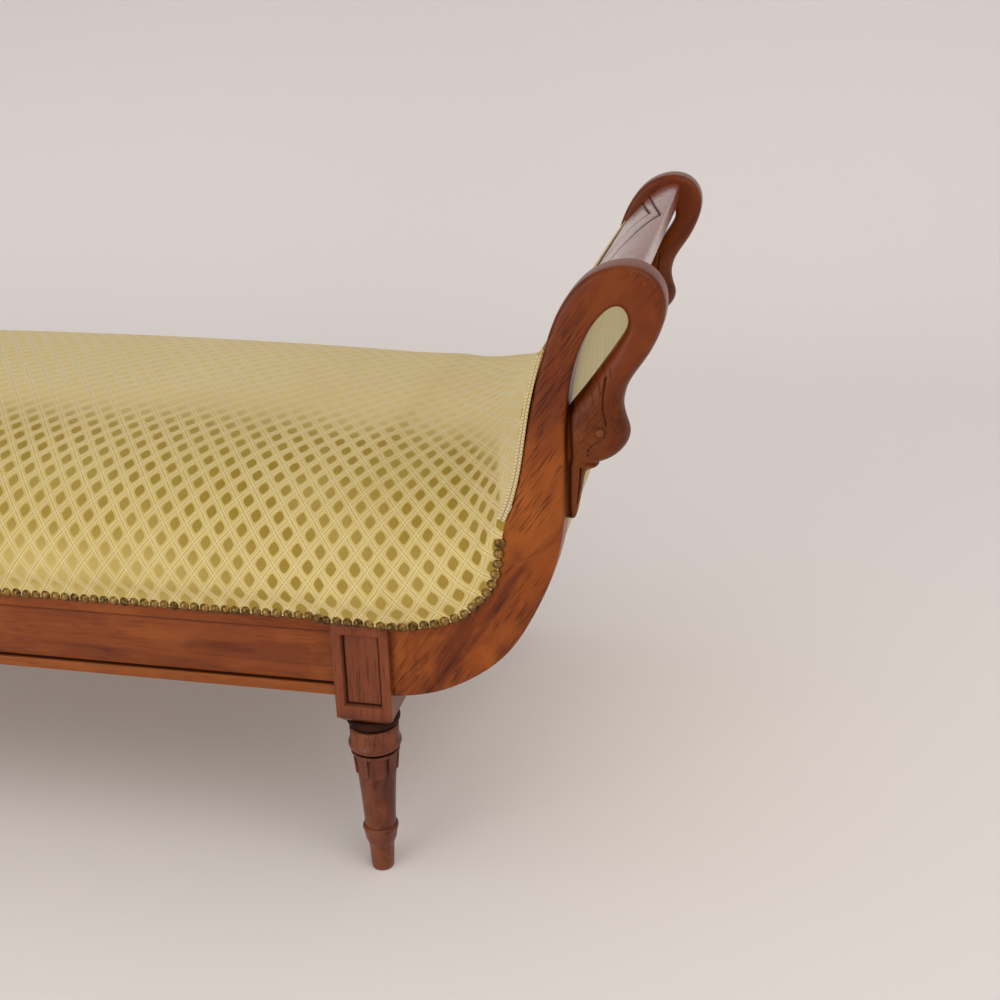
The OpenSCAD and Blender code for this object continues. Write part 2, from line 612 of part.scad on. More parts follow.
// Nails, spaced evenly along a line from the middle of the rail up each stile
function nail_point(st, drop) = let (n = (st[1] - st[0]) / norm(st[1] - st[0]), q = st[0] - n * drop)
    [q[0] + half_span, q[1], st[3]];
nail_line = concat([[0, rail_top - rail_nail_drop, cloth_y]],
    [for (i = [1:3]) nail_point(end_stations[i], rail_nail_drop)],
    [for (i = [0:nail_last]) nail_point(stile_station(i, true), nail_drop(i))]);
function line_point(line, dist, i = 0) = let (
        d = norm(line[i + 1] - line[i]))
    dist <= d || i == len(line) - 2 ? line[i] + (line[i + 1] - line[i]) * min(1, dist / d)
        : line_point(line, dist - d, i + 1);
function line_length(line, i = 0) = i >= len(line) - 1 ? 0
    : norm(line[i + 1] - line[i]) + line_length(line, i + 1);
module nail_row() color(BRASS) {
    count = floor(line_length(nail_line) / nail_pitch);
    for (e = [-1, 1]) for (i = [(e < 0 ? 1 : 0):count]) let (p = line_point(nail_line, i * nail_pitch))
        translate([e * p[0], nail_y(i * nail_pitch) + joint_gap, p[1]]) rotate([-90, 0, 0]) nail_head();
}
// A nail stands on the proudest cloth under its head
function nail_y(dist) = max([for (k = [-1:1]) line_point(nail_line, max(0, dist + k * nail_d / 2))[2]]);
dome_r = (pow(nail_d / 2, 2) + pow(nail_h, 2)) / (2 * nail_h);
module nail_head() rotate_extrude() intersection() {
    translate([0, nail_h - dome_r]) circle(r = dome_r);
    square([nail_d, nail_h]);
}

at_end(1) at_side(-1) leg();  // leg_front_right
at_end(-1) at_side(-1) leg();  // leg_front_left
at_end(1) at_side(1) leg();  // leg_back_right
at_end(-1) at_side(1) leg();  // leg_back_left
at_end(1) at_side(-1) stile();  // swan_stile_front_right
at_end(-1) at_side(-1) stile();  // swan_stile_front_left
at_end(1) at_side(1) stile();  // swan_stile_back_right
at_end(-1) at_side(1) stile();  // swan_stile_back_left
swan_eyes();
at_side(-1) long_rail();  // front_rail
at_side(1) long_rail();  // back_rail
at_end(1) cross_rail();  // cross_rail_right
at_end(-1) cross_rail();  // cross_rail_left
at_end(1) end_rail();  // end_rail_right
at_end(-1) end_rail();  // end_rail_left
at_end(1) crest_rail();  // crest_rail_right
at_end(-1) crest_rail();  // crest_rail_left
middle_bearer();
corner_blocks();
corner_screws();
seat_webbing_long();
seat_webbing_cross();
seat_hessian();
seat_pad();
seat_cover();
at_end(1) end_webbing();  // end_webbing_right
at_end(-1) end_webbing();  // end_webbing_left
at_end(1) end_hessian();  // end_hessian_right
at_end(-1) end_hessian();  // end_hessian_left
at_end(1) end_pad();  // end_pad_right
at_end(-1) end_pad();  // end_pad_left
at_end(1) end_cover();  // end_cover_right
at_end(-1) end_cover();  // end_cover_left
at_end(1) outside_back();  // outside_back_right
at_end(-1) outside_back();  // outside_back_left
at_end(1) braid();  // braid_right
at_end(-1) braid();  // braid_left
at_side(-1) nail_row();  // nails_front
at_side(1) nail_row();  // nails_back
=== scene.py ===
# %% [markdown]
# # A daybed with swan-neck ends
# The real object is an upholstered daybed: a stuffed seat that sweeps up onto two
# raised ends, four turned legs, moulded rails and, at each corner, a board carved as
# a swan's neck and head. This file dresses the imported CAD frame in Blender, piece by
# piece. Everything is in metres and stands where the CAD says.

# %% Load the frame
import math
import bmesh
import bpy
import numpy as np
from mathutils import Matrix, Vector


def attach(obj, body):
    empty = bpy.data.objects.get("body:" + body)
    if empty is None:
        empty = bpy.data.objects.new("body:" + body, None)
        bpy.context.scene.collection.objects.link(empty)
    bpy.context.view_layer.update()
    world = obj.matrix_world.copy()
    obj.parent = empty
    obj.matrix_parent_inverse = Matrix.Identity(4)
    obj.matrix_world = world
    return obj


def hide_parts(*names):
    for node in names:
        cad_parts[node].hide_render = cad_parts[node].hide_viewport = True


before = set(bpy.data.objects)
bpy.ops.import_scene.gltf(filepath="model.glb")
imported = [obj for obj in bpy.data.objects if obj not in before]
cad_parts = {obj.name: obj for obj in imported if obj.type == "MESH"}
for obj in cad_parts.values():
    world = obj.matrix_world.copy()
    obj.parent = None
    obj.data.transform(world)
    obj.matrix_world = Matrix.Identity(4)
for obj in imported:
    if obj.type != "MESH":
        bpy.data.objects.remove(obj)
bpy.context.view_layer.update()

# %% [markdown]
# ## Sizes
# The CAD source is drawn in millimetres, from the middle of the length, the middle of
# the width and the floor. The same sizes are needed here, so they are written once
# and turned into metres by one factor. X runs along the seat, Y across it with the
# front at minus, and Z up. The outlines of a raised end are written as shares of the
# swan neck's reach and rise, so they keep their shape if these two change.

# %% The driving sizes
MM = 0.001
LEG_X = 600 * MM
INNER_Y = 277.5 * MM
STILE_T = 45 * MM
FACE_Y = INNER_Y + STILE_T
STILE_Y = INNER_Y + STILE_T / 2
BLOCK_W = 62 * MM
BLOCK_PROUD = 7 * MM
LEG_Y = FACE_Y + BLOCK_PROUD - BLOCK_W / 2
BLOCK_Z = 212 * MM
RAIL_Z = 236 * MM
RAIL_TOP = 341 * MM
TOP_Z = 702 * MM
REACH = 307 * MM
FOOT_X = BLOCK_W / 2
CLOTH_T = 1.5 * MM
SOFT_GAP = 0.3 * MM


def place(share):
    """A point of the right end's side view, from shares of the neck's reach and rise."""
    x = LEG_X + FOOT_X + share[0] * (REACH - FOOT_X)
    return np.array([x, RAIL_Z + share[1] * (TOP_Z - RAIL_Z)])


def smooth(rows, steps):
    """A smooth curve through rows of numbers, with the given steps between two rows."""
    rows = np.array(rows, float)
    ends = np.vstack([rows[:1], rows, rows[-1:]])
    u = (np.arange(steps) / steps)[:, None]
    out = []
    for a, b, c, d in zip(ends, ends[1:], ends[2:], ends[3:]):
        out.append((2 * b + (c - a) * u + (2 * a - 5 * b + 4 * c - d) * u**2
                    + (3 * b - a - 3 * c + d) * u**3) / 2)
    return np.vstack(out + [rows[-1:]])


print("rail top", RAIL_TOP, "m, neck top", TOP_Z, "m")

# %% [markdown]
# ## The camera
# The photograph looks down by 22 degrees and a little to the left, at the right end
# of the daybed. A camera could be moved by eye until the picture fits. Here its
# distance, angles and lens were worked out from the piece's straight edges, so it
# stands where the photographer's camera stood.

# %% Place the camera
PITCH, YAW, ROLL = 0.3842, 0.2086, 0.0212
CAMERA_AT = Vector((983.6, -1419.7, 924.8)) * MM
SENSOR_MM = 36
FOCAL_SHARE = 1.24708
VIEW_END = 60
bpy.ops.object.camera_add(location=CAMERA_AT)
camera = bpy.context.object
camera.name = "camera"
camera.rotation_mode = "XYZ"
tilt = Matrix.Rotation(YAW, 3, "Z") @ Matrix.Rotation(math.pi / 2 - PITCH, 3, "X")
camera.rotation_euler = (tilt @ Matrix.Rotation(-ROLL, 3, "Z")).to_euler()
camera.data.sensor_width = SENSOR_MM
camera.data.lens = SENSOR_MM * FOCAL_SHARE
camera.data.clip_end = VIEW_END
bpy.context.scene.camera = camera
print("camera lens", round(camera.data.lens, 2), "mm")

# %% [markdown]
# ## Working in edit mode
# A piece starts as a primitive and is shaped in edit mode, as by hand. Operators act
# on all that is selected, and loading the frame leaves its nodes selected, so the
# first helper clears the selection. The others take up one piece, start a new one,
# open one again, and select parts of it by a test on their place or direction.

# %% Select and start


def clear_selection():
    """Leaves edit mode and deselects everything."""
    if bpy.context.object and bpy.context.object.mode != "OBJECT":
        bpy.ops.object.mode_set(mode="OBJECT")
    bpy.ops.object.select_all(action="DESELECT")


def take(piece):
    """Selects one piece alone and makes it the active one."""
    clear_selection()
    bpy.context.view_layer.objects.active = piece
    piece.select_set(True)


def begin(add, name, **settings):
    """Adds a primitive in edit mode, selected all over, and names it."""
    clear_selection()
    add(enter_editmode=True, **settings)
    bpy.ops.mesh.select_mode(type="VERT")
    piece = bpy.context.object
    piece.name = piece.data.name = name
    return piece


def edit(piece):
    """Opens a piece in edit mode with nothing selected."""
    take(piece)
    bpy.ops.object.mode_set(mode="EDIT")
    bpy.ops.mesh.select_all(action="DESELECT")


def pick(kind, test):
    """Selects the faces, edges or vertices that pass a test, and returns how many."""
    mesh = bpy.context.edit_object.data
    bpy.ops.mesh.select_all(action="DESELECT")
    bpy.ops.mesh.select_mode(type=kind)
    bm = bmesh.from_edit_mesh(mesh)
    items = {"FACE": bm.faces, "EDGE": bm.edges, "VERT": bm.verts}[kind]
    chosen = [item for item in items if test(item)]
    for item in chosen:
        item.select_set(True)
    bmesh.update_edit_mesh(mesh)
    return len(chosen)


print("ready to select")

# %% Shape and finish


def move(x, y, z):
    """Moves what is selected."""
    bpy.ops.transform.translate(value=(x, y, z))


def extrude(x=0, y=0, z=0):
    """Extrudes what is selected and moves the new part."""
    bpy.ops.mesh.extrude_region_move(TRANSFORM_OT_translate={"value": (x, y, z)})


def outward():
    """Merges doubles and turns the faces outwards."""
    bpy.ops.mesh.select_all(action="SELECT")
    bpy.ops.mesh.remove_doubles(threshold=0.01 * MM)
    bpy.ops.mesh.normals_make_consistent(inside=False)


def settle(piece):
    """Puts the piece's place into its mesh, so that its object sits at the origin."""
    take(piece)
    bpy.ops.object.transform_apply(location=True, rotation=True, scale=True)


def modify(piece, kind, **settings):
    """Adds a modifier and applies it at once."""
    take(piece)
    bpy.ops.object.modifier_add(type=kind)
    modifier = piece.modifiers[-1]
    for key, value in settings.items():
        setattr(modifier, key, value)
    bpy.ops.object.modifier_apply(modifier=modifier.name)


def shade(piece, angle):
    """Shades a piece smooth, apart from its edges that are sharper than an angle."""
    take(piece)
    bpy.ops.object.shade_smooth_by_angle(angle=math.radians(angle))


def soften(piece, width, angle, segments=2):
    """Rounds the sharp edges a little and shades the rest smooth."""
    modify(piece, "BEVEL", width=width, segments=segments, limit_method="ANGLE",
           angle_limit=math.radians(angle))
    shade(piece, angle)


print("ready to model")

# %% [markdown]
# ## Writing materials as expressions
# A material is a network of nodes, which could be wired up one by one. Here each
# number or colour in it is wrapped in a small class instead, so that a formula in
# Python adds the Math nodes it needs and can be read as a formula.

# %% A class that wraps sockets


def maths(operation):
    """A method that adds one Math node, with the wire itself as its first input."""
    return lambda wire, *others: wire.math(operation, *others)


class Wire:
    """A socket of a material's nodes that can be used in formulas."""

    def __init__(self, tree, socket):
        self.tree = tree
        self.socket = socket

    def math(self, operation, *others):
        node = self.tree.nodes.new("ShaderNodeMath")
        node.operation = operation
        for slot, value in zip(node.inputs, (self, *others)):
            plug(self.tree, slot, value)
        return Wire(self.tree, node.outputs[0])

    __add__ = __radd__ = maths("ADD")
    __sub__ = maths("SUBTRACT")
    __mul__ = __rmul__ = maths("MULTIPLY")
    __truediv__ = maths("DIVIDE")
    __pow__ = maths("POWER")
    abs = maths("ABSOLUTE")
    fract = maths("FRACT")
    sin = maths("SINE")
    max = maths("MAXIMUM")

    def __rsub__(self, other):
        return (self * -1) + other

    def step(self, low, high):
        """0 below low and 1 above high, smooth between. Low may be the larger one."""
        if low > high:
            return 1 - self.step(high, low)
        node = self.tree.nodes.new("ShaderNodeMapRange")
        node.interpolation_type = "SMOOTHSTEP"
        plug(self.tree, node.inputs["Value"], self)
        node.inputs["From Min"].default_value = low
        node.inputs["From Max"].default_value = high
        return Wire(self.tree, node.outputs["Result"])


def plug(tree, slot, value):
    """Sets a socket to a number or colour, or links it."""
    if isinstance(value, Wire):
        tree.links.new(value.socket, slot)
    elif isinstance(value, (tuple, list)) and len(value) == 3 and slot.type == "RGBA":
        slot.default_value = (*value, 1)
    else:
        slot.default_value = value


def rgb(red, green, blue):
    """A screen colour, from 0 to 255, as the linear values that the renderer uses."""
    return tuple(((c / 255 + 0.055) / 1.055) ** 2.4 if c > 10 else c / 3294 for c in (red, green, blue))


print("a middle grey of 128 is", round(rgb(128, 128, 128)[0], 3), "in linear light")

# %% A class that builds a finish


class Finish:
    """A material under construction."""

    def __init__(self, name, **surface):
        self.material = bpy.data.materials.new(name)
        self.material.use_nodes = True
        self.tree = self.material.node_tree
        self.surface = self.tree.nodes["Principled BSDF"]
        self.fill(self.surface, surface)

    def fill(self, shader, surface):
        """Fills a shader's sockets, whose names are written with underlines."""
        for key, value in surface.items():
            plug(self.tree, shader.inputs[key.replace("_", " ").title().replace("Ior", "IOR")], value)

    def overlay(self, share, **surface):
        """Mixes a second surface over the first, by a share from 0 to 1."""
        second = self.tree.nodes.new("ShaderNodeBsdfPrincipled")
        self.fill(second, surface)
        mix = self.tree.nodes.new("ShaderNodeMixShader")
        plug(self.tree, mix.inputs[0], share)
        self.tree.links.new(self.surface.outputs[0], mix.inputs[1])
        self.tree.links.new(second.outputs[0], mix.inputs[2])
        self.tree.links.new(mix.outputs[0], self.tree.nodes["Material Output"].inputs["Surface"])

    def node(self, kind, settings=None, output=0, **sockets):
        """Any other node, from its type, its settings and what its sockets hold."""
        node = self.tree.nodes.new(kind)
        for key, value in (settings or {}).items():
            setattr(node, key, value)
        for key, value in sockets.items():
            plug(self.tree, node.inputs[key.replace("_", " ")], value)
        return Wire(self.tree, node.outputs[output])

    def place(self, scale=(1, 1, 1), turn=(0, 0, 0), uv=False, mirror=False):
        """Object coordinates, or the piece's own UV map, turned and then scaled."""
        source = self.node("ShaderNodeTexCoord", output="UV" if uv else "Object")
        if uv and scale == (1, 1, 1):
            return source
        if mirror:
            source = self.node("ShaderNodeVectorMath", {"operation": "ABSOLUTE"}, Vector=source)
        return self.node("ShaderNodeMapping", {"vector_type": "TEXTURE"}, Vector=source,
                         Scale=tuple(1 / c for c in scale), Rotation=turn)

    def apart(self, vector):
        """The three numbers of a vector."""
        node = self.tree.nodes.new("ShaderNodeSeparateXYZ")
        plug(self.tree, node.inputs[0], vector)
        return [Wire(self.tree, output) for output in node.outputs]

    def noise(self, vector, size, detail=2.0, roughness=0.5, distortion=0.0):
        return self.node("ShaderNodeTexNoise", Vector=vector, Scale=size, Detail=detail,
                         Roughness=roughness, Distortion=distortion)

    def blend(self, share, a, b):
        """Colour a where the share is 0, and colour b where it is 1."""
        node = self.tree.nodes.new("ShaderNodeMix")
        node.data_type = "RGBA"
        for slot, value in ((0, share), (6, a), (7, b)):
            plug(self.tree, node.inputs[slot], value)
        return Wire(self.tree, node.outputs[2])

    def bump(self, height, distance, strength):
        return self.node("ShaderNodeBump", Height=height, Distance=distance, Strength=strength)

    def wear(self, colour, roughness=None, normal=None):
        """Gives the surface its colour, roughness and bumps, and returns the material."""
        for key, value in (("Base Color", colour), ("Roughness", roughness), ("Normal", normal)):
            if value is not None:
                plug(self.tree, self.surface.inputs[key], value)
        return self.material


print("helpers ready")

# %% [markdown]
# ## Floor, backdrop and light
# The room in the photograph is a pale grey-pink paper sweep: a floor that curves up
# into a wall. A separate wall would leave a line where it meets the floor, so it is
# one plane whose far edge is extruded up along a quarter circle. The light is plain
# and soft: an even world, and two large lamps, the main one high at the right and in
# front, and a fill from low at the left.

# %% Build the sweep
SWEEP_SIZE, SWEEP_SHIFT, WALL_H = (36, 22, 1), -9.3, 6
FAR_EDGE, BEND_R, BEND_STEPS = 1.7, 0.9, 12
sweep = begin(bpy.ops.mesh.primitive_plane_add, "sweep", size=1)
bpy.ops.transform.resize(value=SWEEP_SIZE)
move(0, SWEEP_SHIFT, 0)
pick("EDGE", lambda e: all(v.co.y > FAR_EDGE - 0.1 for v in e.verts))
for k in range(BEND_STEPS):
    a, b = (math.pi / 2 * i / BEND_STEPS for i in (k, k + 1))
    extrude(0, BEND_R * (math.sin(b) - math.sin(a)), BEND_R * (math.cos(a) - math.cos(b)))
extrude(0, 0, WALL_H)
outward()
if bmesh.from_edit_mesh(sweep.data).faces[:][0].normal.z < 0:
    bpy.ops.mesh.flip_normals()
settle(sweep)
shade(sweep, 60)
paper = Finish("sweep_paper", roughness=0.75)
paper_at = paper.apart(paper.place())
# The paper is painted darker up the wall than on the floor: painted shade, as less light falls on the wall.
paper.wear(paper.blend(paper_at[2].step(0.0, 1.6), rgb(248, 243, 240), rgb(230, 225, 226)))
sweep.data.materials.append(paper.material)
print("sweep:", len(sweep.data.polygons), "faces")

# %% Light it
world = bpy.data.worlds.new("room")
bpy.context.scene.world = world
world.use_nodes = True
sky = world.node_tree.nodes["Background"]
sky.inputs["Color"].default_value = (1.0, 0.98, 0.98, 1)
sky.inputs["Strength"].default_value = 0.6


def lamp(name, at, towards, size, power, colour):
    """A square lamp that faces a point."""
    bpy.ops.object.light_add(type="AREA", location=at)
    light = bpy.context.object
    light.name = name
    light.data.size = size
    light.data.energy = power
    light.data.color = colour
    light.rotation_euler = (Vector(towards) - Vector(at)).to_track_quat("-Z", "Y").to_euler()


lamp("main_lamp", (2.4, -1.8, 3.0), (0.4, 0, 0.3), 2.4, 30, (1.0, 0.94, 0.87))
lamp("fill_lamp", (-1.2, -3.2, 0.9), (0.1, 0, 0.1), 2.2, 38, (1.0, 0.95, 0.91))
bpy.context.scene.view_settings.view_transform = "Standard"
print("lamps:", len(bpy.data.lights))

# %% [markdown]
# ## Wood finishes
# The frame is old polished hardwood: red-brown, mottled with orange, with streaky
# grain, short dark pores and a few long scratches. A photograph of wood could be laid
# on it, but it would stretch on the carving. Noise in the object's own coordinates,
# stretched along one direction, runs through each board as real grain does. Where a
# piece's own attribute, crevice, says so, the colour turns nearly black, the coat goes
# and a dark, matte second surface shows: painted shade in grooves, cuts and joints,
# with some old dirt. The hidden frame is plain pale wood.

# %% Mix the wood finishes


def wood(name, dark, mid, light, turn, stretch, pores=0.6, rough=0.34, coat=0.1, mottle=0.6,
         mirror=False, upper=None):
    """A wood whose grain runs along X before the turn. Stretch is how long its streaks are.

    Upper holds two heights, a colour and a share: from the first height to the second,
    the wood turns to that colour. The second height may be the lower one."""

    def along(length):
        """Coordinates that are stretched along the grain."""
        return finish.place(scale=(length, 1, 1), turn=turn, mirror=mirror)

    finish = Finish(name, coat_roughness=0.14, specular_ior_level=0.14)
    here = finish.place(mirror=mirror)
    streak = finish.noise(along(1 / stretch), 55, 6, 0.6, 0.6)
    fine = finish.noise(along(1 / stretch), 420, 3, 0.6)
    patch = finish.noise(here, 11, 3, 0.55, 0.8)
    flame = finish.noise(along(0.45), 26, 4, 0.6, 1.4)
    colour = finish.blend(streak.step(0.22, 0.6), dark, mid)
    colour = finish.blend((patch * 0.55 + flame * 0.45).step(0.47, 0.64) * mottle, colour, light)
    colour = finish.blend(patch.step(0.46, 0.28) * mottle * 0.5, colour, dark)
    if upper:
        rise = finish.apart(here)[2].step(upper[0], upper[1])
        colour = finish.blend(rise * upper[3], colour, upper[2])
    crevice = finish.node("ShaderNodeAttribute", {"attribute_name": "crevice"}, output="Fac")
    pore = finish.noise(along(0.06), 640, 1, 0.4)
    # Outside the painted shade and dirt of the crevice mark, the pores show and the coat shines.
    free_of_shade_and_grime = (1 - crevice).max(0)
    pore_mask = pore.step(0.53, 0.66) * finish.noise(here, 12, 2).step(0.38, 0.56) * pores * free_of_shade_and_grime
    colour = finish.blend(pore_mask * 0.8, colour, tuple(c * 0.3 for c in dark))
    across = finish.place(scale=(0.03, 1, 1), turn=(turn[0], turn[1] + 0.16, turn[2]), mirror=mirror)
    scratch = finish.noise(across, 1300, 1, 0.3)
    scratch_mask = scratch.step(0.66, 0.74) * finish.noise(here, 6, 2).step(0.46, 0.6)
    colour = finish.blend(scratch_mask * 0.35, colour, light)
    # Painted shade, with some dirt: where the crevice mark is high, the colour turns nearly black and a matte
    # surface without reflection is mixed in.
    grime_and_shade = tuple(c * 0.12 for c in dark)
    colour = finish.blend(crevice * 0.9, colour, grime_and_shade)
    rough_here = rough + crevice * 0.2 + (fine - 0.5) * 0.16 + (patch - 0.5) * 0.2 + scratch_mask * 0.2
    height = streak * 0.3 + fine * 0.3 - pore_mask - scratch_mask * 0.6
    normal = finish.bump(height, 0.0002, 0.5)
    finish.wear(colour, rough_here, normal)
    finish.fill(finish.surface, {"coat_weight": free_of_shade_and_grime * coat})
    finish.overlay(crevice.step(0.55, 1.0) * 0.7, base_color=grime_and_shade, roughness=0.95,
                   specular_ior_level=0.0, normal=normal)
    return finish.material


STILE_GRAIN = (0, math.radians(-56), 0)
LEVEL_GRAIN, CROSS_GRAIN, UPRIGHT_GRAIN = (0, 0, 0), (0, 0, math.pi / 2), (0, math.pi / 2, 0)
stile_wood = wood("polished_stile_wood", rgb(88, 34, 10), rgb(138, 67, 19), rgb(182, 100, 32),
                  STILE_GRAIN, 14, pores=0.75, mottle=0.44, mirror=True,
                  upper=(0.44, 0.62, rgb(88, 30, 7), 0.6))
rail_wood = wood("polished_rail_wood", rgb(92, 38, 15), rgb(130, 64, 24), rgb(160, 88, 38),
                 LEVEL_GRAIN, 16, pores=0.4, mottle=0.35,
                 upper=(0.2505, 0.2475, rgb(170, 98, 44), 0.36))
cross_wood = wood("polished_crest_wood", rgb(98, 36, 24), rgb(130, 56, 34), rgb(152, 76, 44),
                  CROSS_GRAIN, 10, pores=0.3, rough=0.28, coat=0.6)
leg_wood = wood("dark_leg_wood", rgb(58, 24, 15), rgb(104, 53, 34), rgb(150, 84, 50),
                UPRIGHT_GRAIN, 8, pores=0.5, rough=0.36, coat=0.15, mottle=0.5,
                upper=(0.208, 0.222, rgb(140, 72, 36), 0.45))
plain_wood = wood("plain_frame_wood", rgb(146, 106, 66), rgb(184, 146, 98), rgb(204, 170, 122),
                  CROSS_GRAIN, 10, pores=0.35, rough=0.62, coat=0.0)
print("wood finishes:", len(bpy.data.materials))

# %% [markdown]
# ## Copies, points and dress
# Four legs and four stiles are mirror images of one, so each is modelled once and
# copied, and every copy gets a mesh of its own. Some shaping is easier on the points
# themselves, as a gouge or a bending iron works, so they can be read and put back.
# Dressing a piece gives it its finish and hides the nodes of the frame that it stands for.

# %% Copy and join


def copy_of(piece):
    """A copy of a piece, with its own mesh."""
    copy = piece.copy()
    copy.data = piece.data.copy()
    bpy.context.collection.objects.link(copy)
    return copy


def mirrored(piece, name, x=1, y=1):
    """A copy that is mirrored in the named directions."""
    clear_selection()
    copy = copy_of(piece)
    copy.name = copy.data.name = name
    copy.scale = (x, y, 1)
    settle(copy)
    if x * y < 0:
        edit(copy)
        bpy.ops.mesh.select_all(action="SELECT")
        bpy.ops.mesh.flip_normals()
        clear_selection()
    return copy


def joined(pieces, name):
    """One object out of several."""
    take(pieces[0])
    for piece in pieces:
        piece.select_set(True)
    if len(pieces) > 1:
        bpy.ops.object.join()
    pieces[0].name = pieces[0].data.name = name
    return pieces[0]


print("ready to copy")

# %% Read, mark and dress


def points_of(piece):
    """The places of a piece's points, as rows of X, Y and Z."""
    co = np.empty(len(piece.data.vertices) * 3)
    piece.data.vertices.foreach_get("co", co)
    return co.reshape(-1, 3)


def put_points(piece, co):
    """Moves a piece's points to new places."""
    piece.data.vertices.foreach_set("co", np.asarray(co, float).ravel())
    piece.data.update()


def mark(piece, values, name="crevice"):
    """Keeps a number for each point of a piece, for its finish to read."""
    attribute = piece.data.attributes.new(name, "FLOAT", "POINT")
    attribute.data.foreach_set("value", np.asarray(values, np.float32))


def dress(piece, material, slot, *nodes):
    """Finishes a piece, rides it on the frame and hides the nodes of the frame it stands for."""
    piece.data.materials.clear()
    piece.data.materials.append(material)
    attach(piece, "root")
    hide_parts(*nodes)
    print(piece.name, "has", len(piece.data.polygons), "faces")


def dress_corners(piece, stem, material, slot):
    """Dresses the front right piece and its mirror images at the other three corners."""
    corners = {"front_right": piece}
    for corner, x, y in (("front_left", -1, 1), ("back_right", 1, -1), ("back_left", -1, -1)):
        corners[corner] = mirrored(piece, f"{stem}_{corner}_wood", x=x, y=y)
    for corner, copy in corners.items():
        dress(copy, material, slot, f"{stem}_{corner}")


print("ready to dress")

# %% [markdown]
# ## Legs
# Each leg is turned on a lathe below a square block. Stacked cylinders would look
# stepped, so the turning is done as on the lathe: a profile is spun round the leg's
# axis. The profile is a list of radius and height in millimetres, from the foot to
# the block, with a function for the beads. The block and a collar of eight tongues
# are shells of their own that stand in the turning.

# %% Spin the turning


def bead(radius, z, height, low, high, steps):
    """Profile points of a round bead, from its lower to its upper end."""
    r = height / 2
    turns = np.radians(np.linspace(low, high, steps))
    return [(radius - r + r * math.cos(a), z + r * math.sin(a)) for a in turns]


def chain(name, points):
    """A run of edges through points, drawn by extruding a vertex."""
    piece = begin(bpy.ops.mesh.primitive_plane_add, name, size=MM)
    bpy.ops.mesh.merge(type="CENTER")
    at = Vector(points[0])
    move(*at)
    for point in points[1:]:
        extrude(*(Vector(point) - at))
        at = Vector(point)
    return piece


profile = [(0.1, 0), (11.4, 0), (12.3, 0.7), (12.8, 4), (13.8, 22), (14.3, 32), (15.4, 35), (17.4, 41),
           (18.9, 49.5)]
profile += bead(20.3, 55.5, 9, -40, 80, 7)
profile += [(17.6, 60.6), (18.1, 76), (19.6, 102), (21.4, 128), (22.6, 152), (22.8, 155)]
profile += bead(27.2, 158, 4.5, -80, 80, 6)
profile += [(22.8, 160.5), (22.8, 161.6)]
profile += bead(29.5, 168, 12, -80, 40, 9)
profile += [(27.4, 173.5), (27.0, 181), (27.3, 189.4), (26.5, 190.4), (24.2, 190.9), (23.6, 193)]
profile += bead(29.5, 199, 11, -75, 75, 9)
profile += [(24.6, 204.8), (24.4, 208), (24.4, 214), (0.1, 214)]
SPIN_STEPS = 64
leg = chain("leg_front_right_wood", [(r * MM, 0, z * MM) for r, z in profile])
bpy.ops.mesh.select_all(action="SELECT")
bpy.ops.mesh.spin(steps=SPIN_STEPS, angle=2 * math.pi, center=(0, 0, 0), axis=(0, 0, 1))
outward()
settle(leg)
shade(leg, 50)
print("turning:", len(leg.data.polygons), "faces")

# %% [markdown]
# The tongues are flat leaves, carved into the shaft and rounded at their lower ends.
# Eight of them could be cut into the turning, but its faces run round and not down.
# So one flat blank is cut, its rim is lowered, and it is bent round the shaft by
# moving its points. Turned copies make the collar.

# %% Cut the tongues
LEAF_TOP, LEAF_H, LEAF_W, LEAVES = 158 * MM, 29 * MM, 14.4 * MM, 8
RIM_W, RIM_DROP, LEAF_DEEP = 0.9 * MM, 0.7 * MM, 2 * MM
PROUD_LOW, PROUD_HIGH = 2.2 * MM, 3.5 * MM
leaf = begin(bpy.ops.mesh.primitive_plane_add, "leaf", size=1)
bpy.ops.transform.resize(value=(LEAF_W, LEAF_H, 1))
pick("VERT", lambda v: v.co.y < 0)
bpy.ops.mesh.bevel(offset=LEAF_W * 0.47, segments=6, affect="VERTICES")
bpy.ops.mesh.select_all(action="SELECT")
bpy.ops.mesh.dissolve_limited(angle_limit=0.01)
pick("FACE", lambda f: True)
extrude(0, 0, 1)
bpy.ops.mesh.inset(thickness=RIM_W, depth=0)
outward()
settle(leaf)
flat = points_of(leaf)
half_w, half_h, near = LEAF_W / 2, LEAF_H / 2, 0.5 * MM
beside = (np.abs(flat[:, 0]) > half_w - near) | (flat[:, 1] > half_h - near)
rounded = np.hypot(flat[:, 0], flat[:, 1] + half_h - half_w) > half_w - near
rim = beside | (rounded & (flat[:, 1] < half_w - half_h))
height = LEAF_TOP - half_h + flat[:, 1]
shaft = (17.5 + (height / MM - 64) / 85 * 5) * MM
proud = np.interp(height, [LEAF_TOP - LEAF_H, LEAF_TOP], [PROUD_LOW, PROUD_HIGH]) - np.where(rim, RIM_DROP, 0)
radius = np.where(flat[:, 2] > 0.5, shaft + proud, shaft - LEAF_DEEP)
angle = flat[:, 0] / (25 * MM)
put_points(leaf, np.column_stack([radius * np.cos(angle), radius * np.sin(angle), height]))
tongues = []
for k in range(LEAVES):
    tongue = copy_of(leaf)
    tongue.rotation_euler = (0, 0, 2 * math.pi * (k + 0.5) / LEAVES)
    settle(tongue)
    tongues.append(tongue)
bpy.data.objects.remove(leaf)
print("tongues:", len(tongues))

# %% [markdown]
# The block is square, its face has a sunk panel with sloping sides, and its lower end
# is drawn in towards the turning. The panel could be cut out with a second solid, but
# bisecting the face at the panel's sides and insetting it with a depth leaves clean
# faces for the small bevel.

